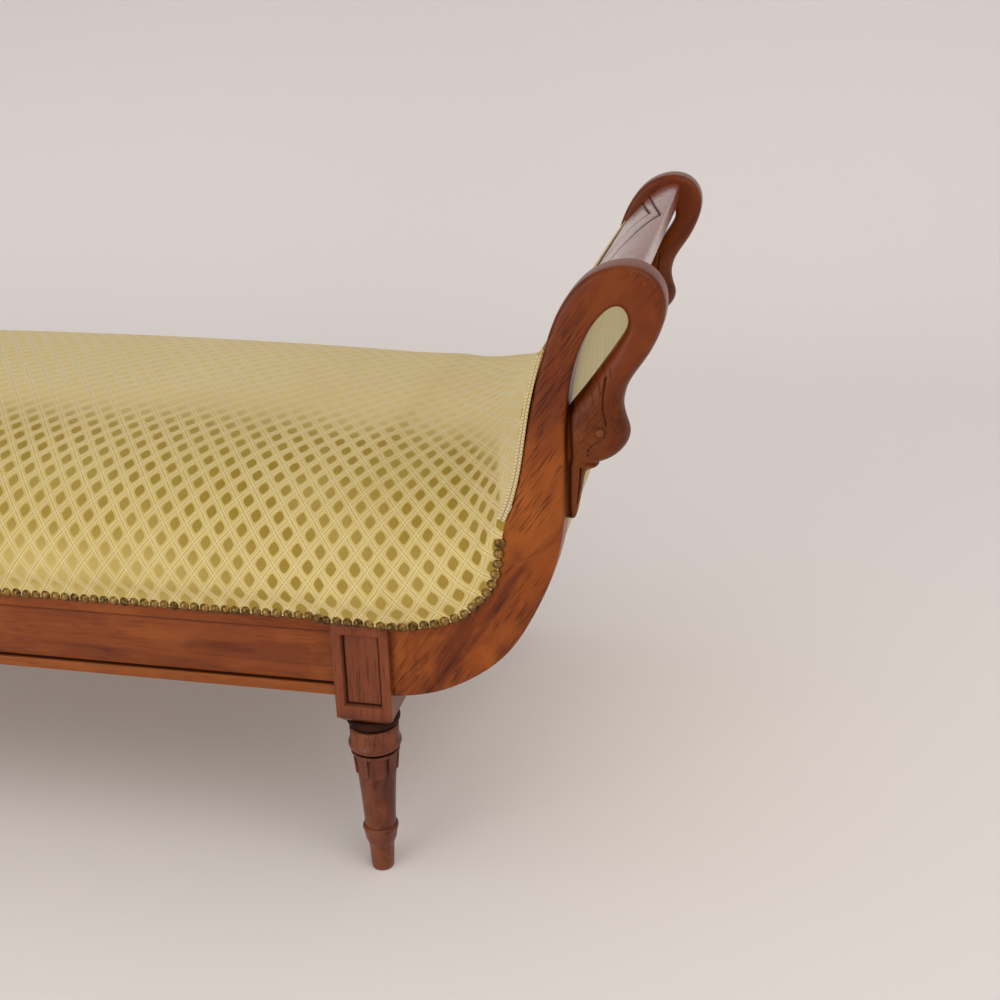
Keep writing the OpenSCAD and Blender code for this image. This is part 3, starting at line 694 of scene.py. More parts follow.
# %% Shape the block
PANEL_W, PANEL_H, PANEL_MID = 42 * MM, 86 * MM, 269.5 * MM
PANEL_SLOPE, PANEL_DEEP, PANEL_RIM, PANEL_FIELD = 2.2 * MM, 5.5 * MM, 1.6 * MM, 3 * MM
DRAW_H, DRAW_SHARE = 6.5 * MM, 0.8
block = begin(bpy.ops.mesh.primitive_cube_add, "block", size=1)
bpy.ops.transform.resize(value=(BLOCK_W, BLOCK_W, RAIL_TOP - BLOCK_Z))
move(0, 0, (RAIL_TOP + BLOCK_Z) / 2)
pick("FACE", lambda f: f.normal.z < -0.9)
extrude(0, 0, -DRAW_H)
bpy.ops.transform.resize(value=(DRAW_SHARE, DRAW_SHARE, 1), center_override=(0, 0, BLOCK_Z - DRAW_H))
for side in (-0.5, 0.5):
    for at, way in (((side * PANEL_W, 0, 0), (1, 0, 0)), ((0, 0, PANEL_MID + side * PANEL_H), (0, 0, 1))):
        pick("FACE", lambda f: f.normal.y < -0.9)
        bpy.ops.mesh.bisect(plane_co=at, plane_no=way)


def middle(face):
    """The point in the middle of a face."""
    return face.calc_center_median()


pick("FACE", lambda f: f.normal.y < -0.9 and abs(middle(f).x) < MM and abs(middle(f).z - PANEL_MID) < MM)
bpy.ops.mesh.inset(thickness=PANEL_SLOPE, depth=-PANEL_DEEP)
bpy.ops.mesh.inset(thickness=PANEL_RIM, depth=0)
bpy.ops.mesh.inset(thickness=PANEL_FIELD, depth=0)
outward()
settle(block)
soften(block, 0.6 * MM, 20)
leg = joined([leg, block, *tongues], "leg_front_right_wood")
print("whole leg:", len(leg.data.polygons), "faces")

# %% [markdown]
# The grooves between the rings, the top ring under the block and the edge of the
# panel's sunk floor are darkened: painted shade, with some old polish and dirt. Painting
# them by hand would have to be done again after every change, so the points that lie
# there are found by their radius and height.

# %% Paint shade into the grooves of the leg
GROOVE_R, GROOVE_LOW, GROOVE_HIGH = 25.5 * MM, 155 * MM, 205 * MM
RING_R, RING_LOW, RING_HIGH = 30 * MM, 191.5 * MM, 205.5 * MM
GROOVE_DARK, RING_DARK, PANEL_DARK = 0.9, 0.8, 0.85
FLOOR_NEAR, EDGE_NEAR = 1.2 * MM, 1.4 * MM
co = points_of(leg)
x, y, z = co.T
radius = np.hypot(x, y)
grooves = (z > GROOVE_LOW) & (z < GROOVE_HIGH) & (radius < GROOVE_R)
rings = (z > RING_LOW) & (z < RING_HIGH) & (radius < RING_R)
edge_x = PANEL_W / 2 - PANEL_SLOPE - np.abs(x)
edge_z = PANEL_H / 2 - PANEL_SLOPE - np.abs(z - PANEL_MID)
on_floor = np.abs(y + BLOCK_W / 2 - PANEL_DEEP) < FLOOR_NEAR
on_floor &= (np.minimum(edge_x, edge_z) < EDGE_NEAR) & (edge_x > -MM) & (edge_z > -MM)
mark(leg, np.max([GROOVE_DARK * grooves, RING_DARK * rings, PANEL_DARK * on_floor], axis=0))
leg.location = (LEG_X, -LEG_Y, 0)
settle(leg)
dress_corners(leg, "leg", leg_wood, "dark_leg_wood")

# %% [markdown]
# ## Long rails
# A long rail is a plank with a bead along its lower edge, a sunk field and a flat
# band above. Strips could be stuck on a plank. One plank, as the joiner planes it, is
# marked out by bisecting its front face at the right heights, and the strips are then
# extruded out or in.

# %% Mould the rails
RAIL_L = 2 * LEG_X - BLOCK_W
RAIL_T = 32 * MM
BEAD_H, FIELD_H, GROOVE_W, COVE_H = 12 * MM, 64 * MM, 2.2 * MM, 4 * MM
BEAD_OUT, FIELD_IN, GROOVE_IN = 1.5 * MM, 2 * MM, 1.6 * MM
rail = begin(bpy.ops.mesh.primitive_cube_add, "front_rail_wood", size=1)
bpy.ops.transform.resize(value=(RAIL_L, RAIL_T, RAIL_TOP - RAIL_Z))
move(0, -FACE_Y + RAIL_T / 2, (RAIL_TOP + RAIL_Z) / 2)
bead_top, field_top = RAIL_Z + BEAD_H, RAIL_Z + BEAD_H + FIELD_H
levels = [bead_top, bead_top + GROOVE_W, field_top - COVE_H, field_top]
for level in levels:
    pick("FACE", lambda f: f.normal.y < -0.9)
    bpy.ops.mesh.bisect(plane_co=(0, 0, level), plane_no=(0, 0, 1))
for low, high, out in ((RAIL_Z, bead_top, -BEAD_OUT), (bead_top, field_top, FIELD_IN),
                       (bead_top, levels[1], GROOVE_IN)):
    pick("FACE", lambda f: f.normal.y < -0.9 and low < middle(f).z < high)
    extrude(0, out, 0)
outward()
settle(rail)
soften(rail, 1.1 * MM, 30, 3)
# Painted shade: the groove above the bead and the line under the top band get a dark mark for the finish.
SUNK_FROM, SUNK_TO, BAND_NEAR, BAND_DARK = 1.5 * MM, 5 * MM, 1.2 * MM, 0.7
co = points_of(rail)
sunk = (co[:, 1] > -FACE_Y + SUNK_FROM) & (co[:, 1] < -FACE_Y + SUNK_TO)
in_groove = (co[:, 2] > bead_top - MM) & (co[:, 2] < levels[1])
under_band = np.abs(co[:, 2] - field_top) < BAND_NEAR
mark(rail, sunk * np.maximum(GROOVE_DARK * in_groove, BAND_DARK * under_band))
dress(rail, rail_wood, "polished_wood", "front_rail")
dress(mirrored(rail, "back_rail_wood", y=-1), rail_wood, "polished_wood", "back_rail")

# %% [markdown]
# ## Swan stiles
# Each stile is one board, sawn to a long S and carved at its top into a swan's neck
# that curls over and comes down with its head against the board. A flat outline with
# a thickness would keep the board's square edges. So it is made as the carver would
# rough it out: the end face of a blank is extruded from section to section along the
# curve, a Subdivision Surface rounds the steps off, and the fine lines are cut last.
#
# A section is written as the shares of its two edges, its thickness as a share of the
# board's, and how round its corners are, from 0 to 1.

# %% The sections of the board, the neck and the head
ARRIS = 0.2
board_shares = [
    (0.000, 0.004, 0.000, 0.225, 1.00, ARRIS), (0.163, 0.022, 0.148, 0.238, 1.00, ARRIS),
    (0.329, 0.073, 0.264, 0.275, 1.00, ARRIS), (0.467, 0.148, 0.340, 0.330, 1.00, ARRIS),
    (0.571, 0.260, 0.401, 0.406, 1.00, ARRIS), (0.637, 0.363, 0.459, 0.464, 1.00, ARRIS),
    (0.665, 0.466, 0.492, 0.524, 1.00, ARRIS), (0.664, 0.577, 0.515, 0.592, 1.00, ARRIS),
    (0.666, 0.687, 0.543, 0.704, 1.00, 0.28), (0.691, 0.785, 0.588, 0.819, 1.00, 0.32),
    (0.731, 0.854, 0.638, 0.907, 1.00, 0.34), (0.778, 0.896, 0.725, 0.974, 1.00, 0.34),
    (0.823, 0.917, 0.843, 1.000, 1.00, 0.34), (0.854, 0.912, 0.940, 0.986, 0.99, 0.36),
    (0.870, 0.893, 0.993, 0.942, 0.97, 0.42), (0.864, 0.869, 0.990, 0.888, 0.93, 0.52),
    (0.834, 0.839, 0.949, 0.828, 0.88, 0.66), (0.796, 0.806, 0.906, 0.789, 0.84, 0.76),
    (0.754, 0.770, 0.868, 0.751, 0.82, 0.82), (0.714, 0.737, 0.856, 0.713, 0.84, 0.86)]
head_shares = [
    (0.655, 0.693, 0.864, 0.688, 0.88, 0.86), (0.655, 0.668, 0.879, 0.667, 0.91, 0.86),
    (0.655, 0.651, 0.883, 0.650, 0.93, 0.86), (0.655, 0.633, 0.873, 0.630, 0.92, 0.86),
    (0.655, 0.613, 0.846, 0.609, 0.86, 0.84), (0.655, 0.597, 0.810, 0.596, 0.74, 0.80),
    (0.655, 0.588, 0.774, 0.589, 0.60, 0.76), (0.655, 0.582, 0.768, 0.582, 0.60, 0.80),
    (0.655, 0.574, 0.758, 0.574, 0.54, 0.70), (0.655, 0.569, 0.729, 0.569, 0.48, 0.50),
    (0.655, 0.539, 0.720, 0.540, 0.44, 0.50), (0.655, 0.496, 0.709, 0.496, 0.36, 0.50),
    (0.655, 0.464, 0.698, 0.462, 0.28, 0.50), (0.660, 0.456, 0.688, 0.455, 0.20, 0.50)]
board_rows = smooth(board_shares, 2)
board_rows[0][3] = (RAIL_TOP - RAIL_Z) / (TOP_Z - RAIL_Z)


def seat_edge(i):
    """The inner edge of the board, on the seat's side, at one of its sections."""
    return place(board_rows[i][2:4])


print("sections:", len(board_rows), "of the board and", len(head_shares), "of the head")


# %% Extrude the blank along the sections
RING_ARC = 3
ROUND_FROM, SWELL = 0.5, 1.015


def ring(row):
    """The points round one section: a rectangle across the board with rounded corners.

    A round section swells a little, by what the Subdivision Surface will take off it."""
    swell = 1.0 if row[5] < ROUND_FROM else SWELL
    a, b = place(row[0:2]), place(row[2:4])
    wide = np.linalg.norm(b - a)
    across = (b - a) / wide
    centre = (a + b) / 2
    thick = row[4] * STILE_T
    r = row[5] * min(wide, thick) / 2
    points = []
    for k in range(4):
        for j in range(RING_ARC + 1):
            turn = math.radians(90 * (k + j / RING_ARC))
            u = (1 if k in (0, 3) else -1) * (wide / 2 - r) + r * math.cos(turn)
            v = (1 if k < 2 else -1) * (thick / 2 - r) + r * math.sin(turn)
            at = centre + across * u * swell
            points.append(Vector((at[0], v * swell, at[1])))
    return points


def extruded(name, rings):
    """A blank whose end face is extruded from ring to ring."""
    piece = begin(bpy.ops.mesh.primitive_circle_add, name, vertices=len(rings[0]), radius=MM,
                  fill_type="NGON")
    for k, points in enumerate(rings):
        if k:
            extrude()
        bm = bmesh.from_edit_mesh(piece.data)
        face = [f for f in bm.faces if f.select][0]
        for vert, point in zip(face.verts, points):
            vert.co = point
        bmesh.update_edit_mesh(piece.data)
    return piece


hidden_start = board_rows[0] - (2 * board_rows[1] - 2 * board_rows[0])
hidden_start[[1, 3]] = board_rows[0][[1, 3]]
sections = [hidden_start, *board_rows, *[np.array(row) for row in head_shares]]
stile = extruded("swan_stile_front_right_wood", [ring(row) for row in sections])
outward()
settle(stile)
print("blank:", len(stile.data.polygons), "faces")
modify(stile, "SUBSURF", levels=2, render_levels=2)
KNOB_X, KNOB_Z, KNOB_SIZE = LEG_X + 235.5 * MM, 507 * MM, (9.5 * MM, 15 * MM, 4.2 * MM)
knob = begin(bpy.ops.mesh.primitive_uv_sphere_add, "knob", segments=24, ring_count=14, radius=1)
bpy.ops.transform.resize(value=KNOB_SIZE)
move(KNOB_X, 0, KNOB_Z)
for piece in (knob, stile):
    settle(piece)
    piece.location = (0, -STILE_Y, 0)
    settle(piece)

# %% [markdown]
# ## Carving the head
# The carver's gouge leaves the fold of the cheek, the rim of the eye, the mouth, a
# long hollow in the beak and short strokes for the feathers. A sculpting brush could
# do it, but not twice in the same way. Here the gouge is a function that pushes
# points in, towards the board's middle, along a drawn line. It also marks how deep it
# went, so that the finish is darker there: painted shade in the cuts. The head needs
# finer faces than the board for this, so only its faces are subdivided again.

# %% Subdivide the head
HEAD_X, HEAD_LOW, HEAD_HIGH = 216, 455, 618
edit(stile)
head_faces = pick("FACE", lambda f: middle(f).x > LEG_X + HEAD_X * MM
                  and HEAD_LOW * MM < middle(f).z < HEAD_HIGH * MM)
bpy.ops.mesh.subdivide(number_cuts=2)
clear_selection()
print("faces of the head:", head_faces)

# %% Carve the lines


def near_line(xz, line, width):
    """How near points are to a drawn line: 1 on it, and 0 from its half width on.

    The half width is one number, or one for each point of the line."""
    near = np.zeros(len(xz))
    widths = np.broadcast_to(width, len(line))
    for (a, b), (wa, wb) in zip(zip(line, line[1:]), zip(widths, widths[1:])):
        a, b = np.array(a, float), np.array(b, float)
        u = np.clip((xz - a) @ (b - a) / ((b - a) @ (b - a)), 0, 1)
        far = np.linalg.norm(xz - a - u[:, None] * (b - a), axis=1)
        near = np.maximum(near, 1 - np.minimum(far / (wa + (wb - wa) * u), 1))
    return near


def round_line(x, z, r, steps=16):
    """A drawn circle."""
    return [(x + r * math.cos(a), z + r * math.sin(a)) for a in np.linspace(0, 2 * math.pi, steps + 1)]


EYE_X, EYE_Z = 248.3, 543.8
carved = [
    ([(252, 597), (251, 589), (249.8, 579), (249.9, 567), (252.3, 555), (253.2, 549)], 1.7, 1.3),
    (round_line(EYE_X, EYE_Z, 5.0), 1.3, 0.7),
    ([(247.9, 535.6), (241, 531), (236.8, 526), (236, 519)], 1.6, 1.4),
    ([(241, 531), (233, 534), (226, 531)], 1.4, 0.5),
    ([(228.5, 504), (226.9, 484), (224.4, 466)], (3.4, 2.4, 1.0), 1.7),
    ([(230.0, 577), (233.6, 566)], 1.1, 0.6), ([(238.2, 582), (241.7, 571)], 1.1, 0.6),
    ([(245.0, 592), (248.0, 580)], 1.1, 0.6), ([(234.6, 592), (237.0, 584)], 1.0, 0.5),
    ([(241.0, 600), (243.8, 590)], 1.0, 0.5), ([(226.5, 566), (228.6, 556)], 1.0, 0.5),
    ([(235.2, 562), (237.6, 552)], 1.0, 0.5), ([(229.8, 551), (231.6, 542)], 1.0, 0.45),
    ([(255.5, 606), (257.4, 597)], 1.0, 0.45), ([(248.5, 609), (250.6, 601)], 1.0, 0.45)]
seam = [(221, 566), (219.4, 558), (220, 541), (221, 518), (218.2, 503), (217.6, 462), (218, 452)]
loop_edge = [(220.5, 562), (236, 588), (252, 640), (256.5, 655)]
SEAM_W, SEAM_DARK, LOOP_W, LOOP_DARK, KNOB_DARK = 6.5, 0.95, 5.0, 0.7, 0.35
HEAD_TOP, HEAD_FADE, HEAD_DARK = 610, 60, 0.44
CORE, ROUNDED = 0.2, 0.93
co = points_of(stile)
xz = co[:, [0, 2]] / MM - (LEG_X / MM, 0)
head = xz[:, 0] > HEAD_X
# The head is made darker towards its bottom.
dark = HEAD_DARK * head * np.clip((HEAD_TOP - xz[:, 1]) / HEAD_FADE, 0, 1)
inwards = np.where(co[:, 1] < -STILE_Y, 1, -1)
thick = np.abs(co[:, 1] + STILE_Y) / (STILE_T / 2)
# Each cut is pushed in and marked dark: painted shade in the cut.
for line, width, depth in carved:
    near = near_line(xz, line, width) * head * (thick > CORE)
    co[:, 1] += inwards * near**1.3 * depth * MM
    dark = np.maximum(dark, near * min(1, 0.55 + depth * 0.35))
# Painted shade along the seam between head and board, and along the inner edge of the neck's loop.
dark = np.maximum(dark, near_line(xz, seam, SEAM_W) * SEAM_DARK)
dark = np.maximum(dark, near_line(xz, loop_edge, LOOP_W) * LOOP_DARK * (thick < ROUNDED))
put_points(stile, co)
mark(stile, dark)
# The knob is darkened all over.
mark(knob, np.full(len(knob.data.vertices), KNOB_DARK))
stile = joined([stile, knob], "swan_stile_front_right_wood")
shade(stile, 60)
dress_corners(stile, "swan_stile", stile_wood, "polished_wood")

# %% [markdown]
# ## Crest rails
# The crest rail bridges the two necks of one end. Its top is a smooth hollow sweep
# with a lozenge incised in double lines, whose lower half lies under the cloth. An
# extruded section would be too coarse for the lines. So a grid primitive with many
# faces is wrapped round the section, the same gouge cuts the lozenge, and the ends
# are closed.

# %% Wrap the rail
crest_shares = [
    (0.572, 0.775), (0.593, 0.815), (0.622, 0.854), (0.658, 0.884), (0.707, 0.916), (0.756, 0.946),
    (0.803, 0.966), (0.850, 0.976), (0.882, 0.975), (0.893, 0.966), (0.888, 0.936),
    (0.877, 0.908), (0.850, 0.912), (0.817, 0.917), (0.778, 0.903), (0.734, 0.878),
    (0.705, 0.852), (0.676, 0.824), (0.645, 0.798), (0.622, 0.765)]
CREST_AROUND, CREST_ALONG = 190, 340


def run_of(path):
    """The length walked along a path, at each of its points."""
    return np.concatenate([[0], np.cumsum(np.linalg.norm(np.diff(path, axis=0), axis=1))])


def walk(path, count):
    """Evenly spaced points along a path, with the length walked at each."""
    run = run_of(path)
    at = np.linspace(0, run[-1], count)
    return np.column_stack([np.interp(at, run, path[:, 0]), np.interp(at, run, path[:, 1])]), at


section = np.vstack([smooth([place(s) for s in crest_shares], 3), [place(crest_shares[0])]])
around, walked = walk(section, CREST_AROUND + 1)
crest = begin(bpy.ops.mesh.primitive_grid_add, "crest_rail_right_wood", size=1,
              x_subdivisions=CREST_AROUND, y_subdivisions=CREST_ALONG)
clear_selection()
flat = points_of(crest)
column = np.rint((flat[:, 0] + 0.5) * CREST_AROUND).astype(int)
across = flat[:, 1] * 2 * INNER_Y
print("crest rail:", len(flat), "points round a section of", round(walked[-1], 3), "m")

# %% Cut the lozenge
LINE_W, LINE_DEEP, LINE_DARK = 2.3, 1.9, 1.35
start_s = walked[np.argmin(np.linalg.norm(around - place((0.622, 0.854)), axis=1))]
s = (walked[column] - start_s) / MM
sy = np.column_stack([across / MM, s])
lozenge = [[(-168, 28), (-147, 50), (-101, 66), (20, 92), (89, 80), (272, 52)],
           [(-60, 10), (-20, 34), (10, 52), (41, 78), (117, 65), (272, 40)]]
normal = np.gradient(around, axis=0)[column]
normal = np.column_stack([normal[:, 1], -normal[:, 0]]) / np.linalg.norm(normal, axis=1)[:, None]
put = around[column]
dark = np.zeros(len(flat))
for line in lozenge:
    near = near_line(sy, line, LINE_W) * (s > -20) * (s < 100)
    put = put + normal * (near**1.2 * LINE_DEEP * MM)[:, None]
    dark = np.maximum(dark, near)
put_points(crest, np.column_stack([put[:, 0], across, put[:, 1]]))
# The lozenge's lines get a dark mark: painted shade in the cuts, with some dirt.
mark(crest, np.minimum(1, dark * LINE_DARK))


def pick_open_edges():
    """Selects the edges that have a face on one side only."""
    bpy.ops.mesh.select_mode(type="EDGE")
    bpy.ops.mesh.select_non_manifold(extend=False, use_wire=False, use_multi_face=False,
                                     use_non_contiguous=False, use_verts=False)


edit(crest)
pick_open_edges()
bpy.ops.mesh.remove_doubles(threshold=0.001 * MM)
pick_open_edges()
bpy.ops.mesh.edge_face_add()
outward()
settle(crest)
shade(crest, 50)
dress(crest, cross_wood, "polished_wood", "crest_rail_right")
dress(mirrored(crest, "crest_rail_left_wood", x=-1), cross_wood, "polished_wood", "crest_rail_left")

# %% [markdown]
# ## The frame that is kept as the CAD made it
# Cross rails, end rails, blocks, the bearer, screws and the pegs of the eyes are
# plain joiner's work, which shows little or not at all. They could be modelled again,
# but the CAD has their right shape already, so they only get their finishes.

# %% Finish the plain frame
steel = Finish("screw_steel", metallic=1.0)
steel_grain = steel.noise(steel.place(scale=(1, 1, 6)), 180, 3)
screw_steel = steel.wear(steel.blend(steel_grain, rgb(112, 112, 115), rgb(168, 168, 172)),
                         0.3 + steel_grain * 0.2)
kept = {"swan_eyes": leg_wood, "corner_screws": screw_steel, "middle_bearer": plain_wood,
        "end_rail_right": rail_wood, "end_rail_left": rail_wood, "corner_blocks": plain_wood,
        "cross_rail_right": plain_wood, "cross_rail_left": plain_wood}
for name, material in kept.items():
    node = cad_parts[name]
    node.data.materials.clear()
    node.data.materials.append(material)
print("kept nodes:", ", ".join(kept))

# %% [markdown]
# ## The cover cloth
# The cloth is a pale gold weave with a lattice of raised cream ribs, and a small
# velvet lozenge in each of its cells. A printed picture of the cloth would be flat.
# Here the lattice is written as distances from two sets of slanted lines, which give
# the colours and the bumps alike. Velvet is dark where it is seen straight on and
# pale where it is seen along its pile, which is what a sheen does, so the lozenges
# are a second surface, mixed in by a mask. Besides that real sheen, both surfaces get a
# paler colour where the cloth is seen at a low angle, which is painted sheen, and the
# mask fades the lozenges on the steep long sides, which is painted sheen too. The
# pattern reads the piece's own UV map, which holds metres along and across the cloth.

# %% Weave the cover cloth
CELL_U, CELL_V = 25 * MM, 34 * MM
RIB_AT, THREAD_PITCH = 0.425, 1.1 * MM
TURN = 2 * math.pi


def cover_cloth(name):
    finish = Finish(name, sheen_weight=0.6, sheen_roughness=0.35, sheen_tint=rgb(252, 240, 214),
                    specular_ior_level=0.3)
    at = finish.place(uv=True)
    u, v, _ = finish.apart(at)
    wobble = (finish.noise(at, 70, 2) - 0.5) * 0.06
    a = u * (1 / CELL_U) + v * (1 / CELL_V) + wobble
    b = u * (1 / CELL_U) - v * (1 / CELL_V) - wobble
    da, db = ((c.fract() - 0.5).abs() for c in (a, b))
    line_a, line_b = ((d - RIB_AT).abs().step(0.034, 0.014) for d in (da, db))
    ribs = line_a.max(line_b)
    gutter = (da.max(db)).step(0.46, 0.49)
    fuzz = finish.noise(at, 1100, 2, 0.7)
    thread = (((u + v * 0.2) * (TURN / THREAD_PITCH)).sin() * 0.5 + 0.5)
    patch = finish.noise(at, 5, 2)
    worn = finish.noise(at, 9, 2).step(0.35, 0.7)
    corner = ((da * da + db * db) ** 0.5) * 0.45 + da.max(db) * 0.62
    lozenge = (corner + (fuzz - 0.5) * 0.09).step(0.33, 0.265)
    ground = finish.blend(fuzz.step(0.3, 0.7), rgb(190, 165, 88), rgb(212, 189, 114))
    ground = finish.blend(patch.step(0.35, 0.65) * 0.4, ground, rgb(222, 201, 132))
    ground = finish.blend(gutter * 0.35, ground, rgb(168, 140, 74))
    ground = finish.blend(ribs * 0.75, ground, rgb(240, 224, 170))
    # Painted sheen: the ground turns paler where the cloth is seen at a low angle.
    glance = finish.node("ShaderNodeLayerWeight", Blend=0.42, output=1)
    ground = finish.blend(glance.step(0.46, 0.66) * 0.45, ground, rgb(238, 222, 168))
    height = ribs * 0.9 + thread * 0.22 + fuzz * 0.3 - gutter * 0.3 - lozenge * 0.5
    normal = finish.bump(height, 0.0007, 0.7)
    finish.wear(ground, 0.6 - ribs * 0.12, normal)
    pile = finish.blend(fuzz.step(0.3, 0.7), rgb(134, 108, 32), rgb(172, 144, 60))
    # Painted sheen: the velvet's colour turns pale where it is seen at a low angle.
    pile = finish.blend(glance.step(0.44, 0.60) * 0.94, pile, rgb(224, 202, 142))
    # A mark on the steep long sides fades the lozenges there: painted sheen.
    rubbed = finish.node("ShaderNodeAttribute", {"attribute_name": "rubbed"}, output="Fac")
    finish.overlay(lozenge * (0.95 - worn * 0.25) * (1 - rubbed), base_color=pile, roughness=0.9,
                   sheen_weight=1.0, sheen_roughness=0.3, sheen_tint=rgb(232, 204, 128),
                   specular_ior_level=0.1, normal=normal)
    return finish.material


gold_cloth = cover_cloth("gold_lozenge_cloth")
print("cover cloth:", len(gold_cloth.node_tree.nodes), "nodes")

# %% [markdown]
# The other cloths are plainer. One function weaves them all from two sets of waves,
# with the thread's pitch, a stripe or uneven ribs as settings. The cord's twist is one
# slanted wave on its UV map, which runs along the cord and once round it.

# %% Weave the back cloth, the webbing and the braid


def plain_weave(name, dark, light, pitch, rough=0.8, stripe=0.0, ribbed=0.0):
    """Threads over and under each other, on the UV map, with an optional stripe or uneven ribs."""
    finish = Finish(name, sheen_weight=0.1, sheen_roughness=0.5)
    at = finish.place(uv=True)
    u, v, _ = finish.apart(at)
    warp = (v * (TURN / pitch)).sin() * 0.5 + 0.5
    weft = (u * (TURN / pitch)).sin() * 0.5 + 0.5
    fuzz = finish.noise(at, 900, 2, 0.7)
    colour = finish.blend(warp * 0.5 + fuzz * 0.5, dark, light)
    if stripe:
        colour = finish.blend(((v / stripe).fract() - 0.5).abs().step(0.12, 0.08) * 0.5, colour, dark)
    if ribbed:
        rib = finish.noise(finish.place(scale=(0.004, 1, 1), uv=True), 260, 2)
        colour = finish.blend(rib.step(0.48, 0.6) * ribbed, colour, dark)
    height = warp * 0.6 + weft * 0.3 + fuzz * 0.3
    return finish.wear(colour, rough, finish.bump(height, 0.0005, 0.7))


back_cloth = plain_weave("gold_back_cloth", rgb(160, 142, 84), rgb(236, 222, 168), 5.0 * MM, ribbed=0.5)
webbing_jute = plain_weave("jute_webbing", rgb(118, 92, 58), rgb(186, 160, 116), 1.8 * MM, 0.9, 16.6 * MM)
hessian_jute = plain_weave("jute_hessian", rgb(120, 98, 64), rgb(178, 154, 110), 1.3 * MM, 0.9)
TWIST_PITCH = 3.6 * MM
cord = Finish("cream_braid", sheen_weight=0.2)
cord_u, cord_v, _ = cord.apart(cord.place(uv=True))
twist = (cord_u * (TURN / TWIST_PITCH) + cord_v * TURN).sin() * 0.5 + 0.5
cream_braid = cord.wear(cord.blend(twist, rgb(184, 162, 110), rgb(226, 208, 158)), 0.6,
                        cord.bump(twist, 0.0006, 0.7))
print("cloths and cords:", len(bpy.data.materials), "finishes so far")

# %% [markdown]
# ## The seat
# The stuffed seat and its two raised ends are under one cover, nailed along the rails
# and the boards. Cloth could be simulated over a block, but it would have to meet the
# nails and the photographed line everywhere. So the shape is written down, as a run
# of stations from the middle of the seat up the right end. Each station holds its
# foot on the wood's edge, the surface above it, the drop of the cloth's edge below
# the foot, its half width, the swell of its side, and how far its section has turned
# from a stuffed side to a flat crown. The left end is the same in a mirror.

# %% The stations
END_CROWN, SEAT_CROWN = 143 * MM, 156 * MM
SEAT_JOIN, SEAT_STATIONS = 540 * MM, 7
NAIL_DROP, CLOTH_BELOW = 12 * MM, 2.5 * MM
CLOTH_Y = FACE_Y + SOFT_GAP + CLOTH_T
EDGE_Y, EDGE_DROP = FACE_Y - 2.3 * MM, -0.5 * MM
NAIL_LAST, PAD_LAST, COVER_LAST = 9, 18, 18
LENS_FIRST, LENS_LAST, LENS_POWER, LENS_EDGE = 4, 11, 2.4, 8 * MM
SWELL_SIDE, SWELL_TOP = 10 * MM, 1 * MM
surface_shares = [
    (-0.076, 0.985, 0.000), (0.007, 0.985, 0.000), (0.090, 0.972, 0.009), (0.170, 0.912, 0.042),
    (0.250, 0.800, 0.107), (0.307, 0.650, 0.194), (0.351, 0.500, 0.287), (0.396, 0.300, 0.413),
    (0.482, 0.045, 0.606), (0.577, 0.000, 0.770), (0.630, 0.000, 0.885)]
surface_rows = smooth(surface_shares, 2)
nail_drops = [NAIL_DROP * s for s in (1.17, 1.50, 1.48, 1.60, 1.78, 1.75, 1.92, 1.96, 1.17, 0.25)]


def surface_at(i):
    """The middle of the cover's surface above one section of the board."""
    s = surface_rows[i]
    x = LEG_X + FOOT_X + s[0] * (REACH - FOOT_X)
    return [x, RAIL_TOP + s[1] * END_CROWN + s[2] * (TOP_Z - RAIL_TOP)]


def on_rail(x, top_x, crown):
    """A station on the long rail, where the cloth is nailed to a straight edge."""
    return [x, RAIL_TOP, top_x, RAIL_TOP + crown, NAIL_DROP + CLOTH_BELOW, CLOTH_Y, SWELL_SIDE, 0]


def on_board(i):
    """A station on the board: nailed to its face low down, and on its edge above."""
    nailed = i < len(nail_drops)
    drop, half_w = (nail_drops[i] + CLOTH_BELOW, CLOTH_Y) if nailed else (EDGE_DROP, EDGE_Y)
    swell = SWELL_SIDE + (SWELL_TOP - SWELL_SIDE) * min(1, i / NAIL_LAST)
    lens = min(max((i - LENS_FIRST) / (LENS_LAST - LENS_FIRST), 0), 1)
    return [*seat_edge(i), *surface_at(i), drop, half_w, swell, lens]


stations = [on_rail(x, x, SEAT_CROWN + (END_CROWN - SEAT_CROWN) * (x / SEAT_JOIN) ** 2)
            for x in np.linspace(0, SEAT_JOIN, SEAT_STATIONS)]
stations.append(on_rail(LEG_X - 31 * MM, LEG_X - 34 * MM, END_CROWN))
stations.append(on_rail(LEG_X, LEG_X - 9 * MM, END_CROWN))
stations = np.array(stations + [on_board(i) for i in range(COVER_LAST + 1)])


def threaded(rows, run, at):
    """A smooth curve through unevenly spaced rows, without overshoot at short gaps."""
    gap = np.diff(run)
    slope = np.diff(rows, axis=0) / gap[:, None]
    inner = slope[:-1] * gap[1:, None] + slope[1:] * gap[:-1, None]
    tangent = np.vstack([slope[:1], inner / (gap[1:] + gap[:-1])[:, None], slope[-1:]])
    tangent[0] = 0
    tangent[0, [0, 2]] = slope[0, [0, 2]]
    k = np.clip(np.searchsorted(run, at, side="right") - 1, 0, len(run) - 2)
    t = ((at - run[k]) / gap[k])[:, None]
    h = gap[k][:, None]
    return ((2 * t**3 - 3 * t**2 + 1) * rows[k] + (t**3 - 2 * t**2 + t) * h * tangent[k]
            + (3 * t**2 - 2 * t**3) * rows[k + 1] + (t**3 - t**2) * h * tangent[k + 1])


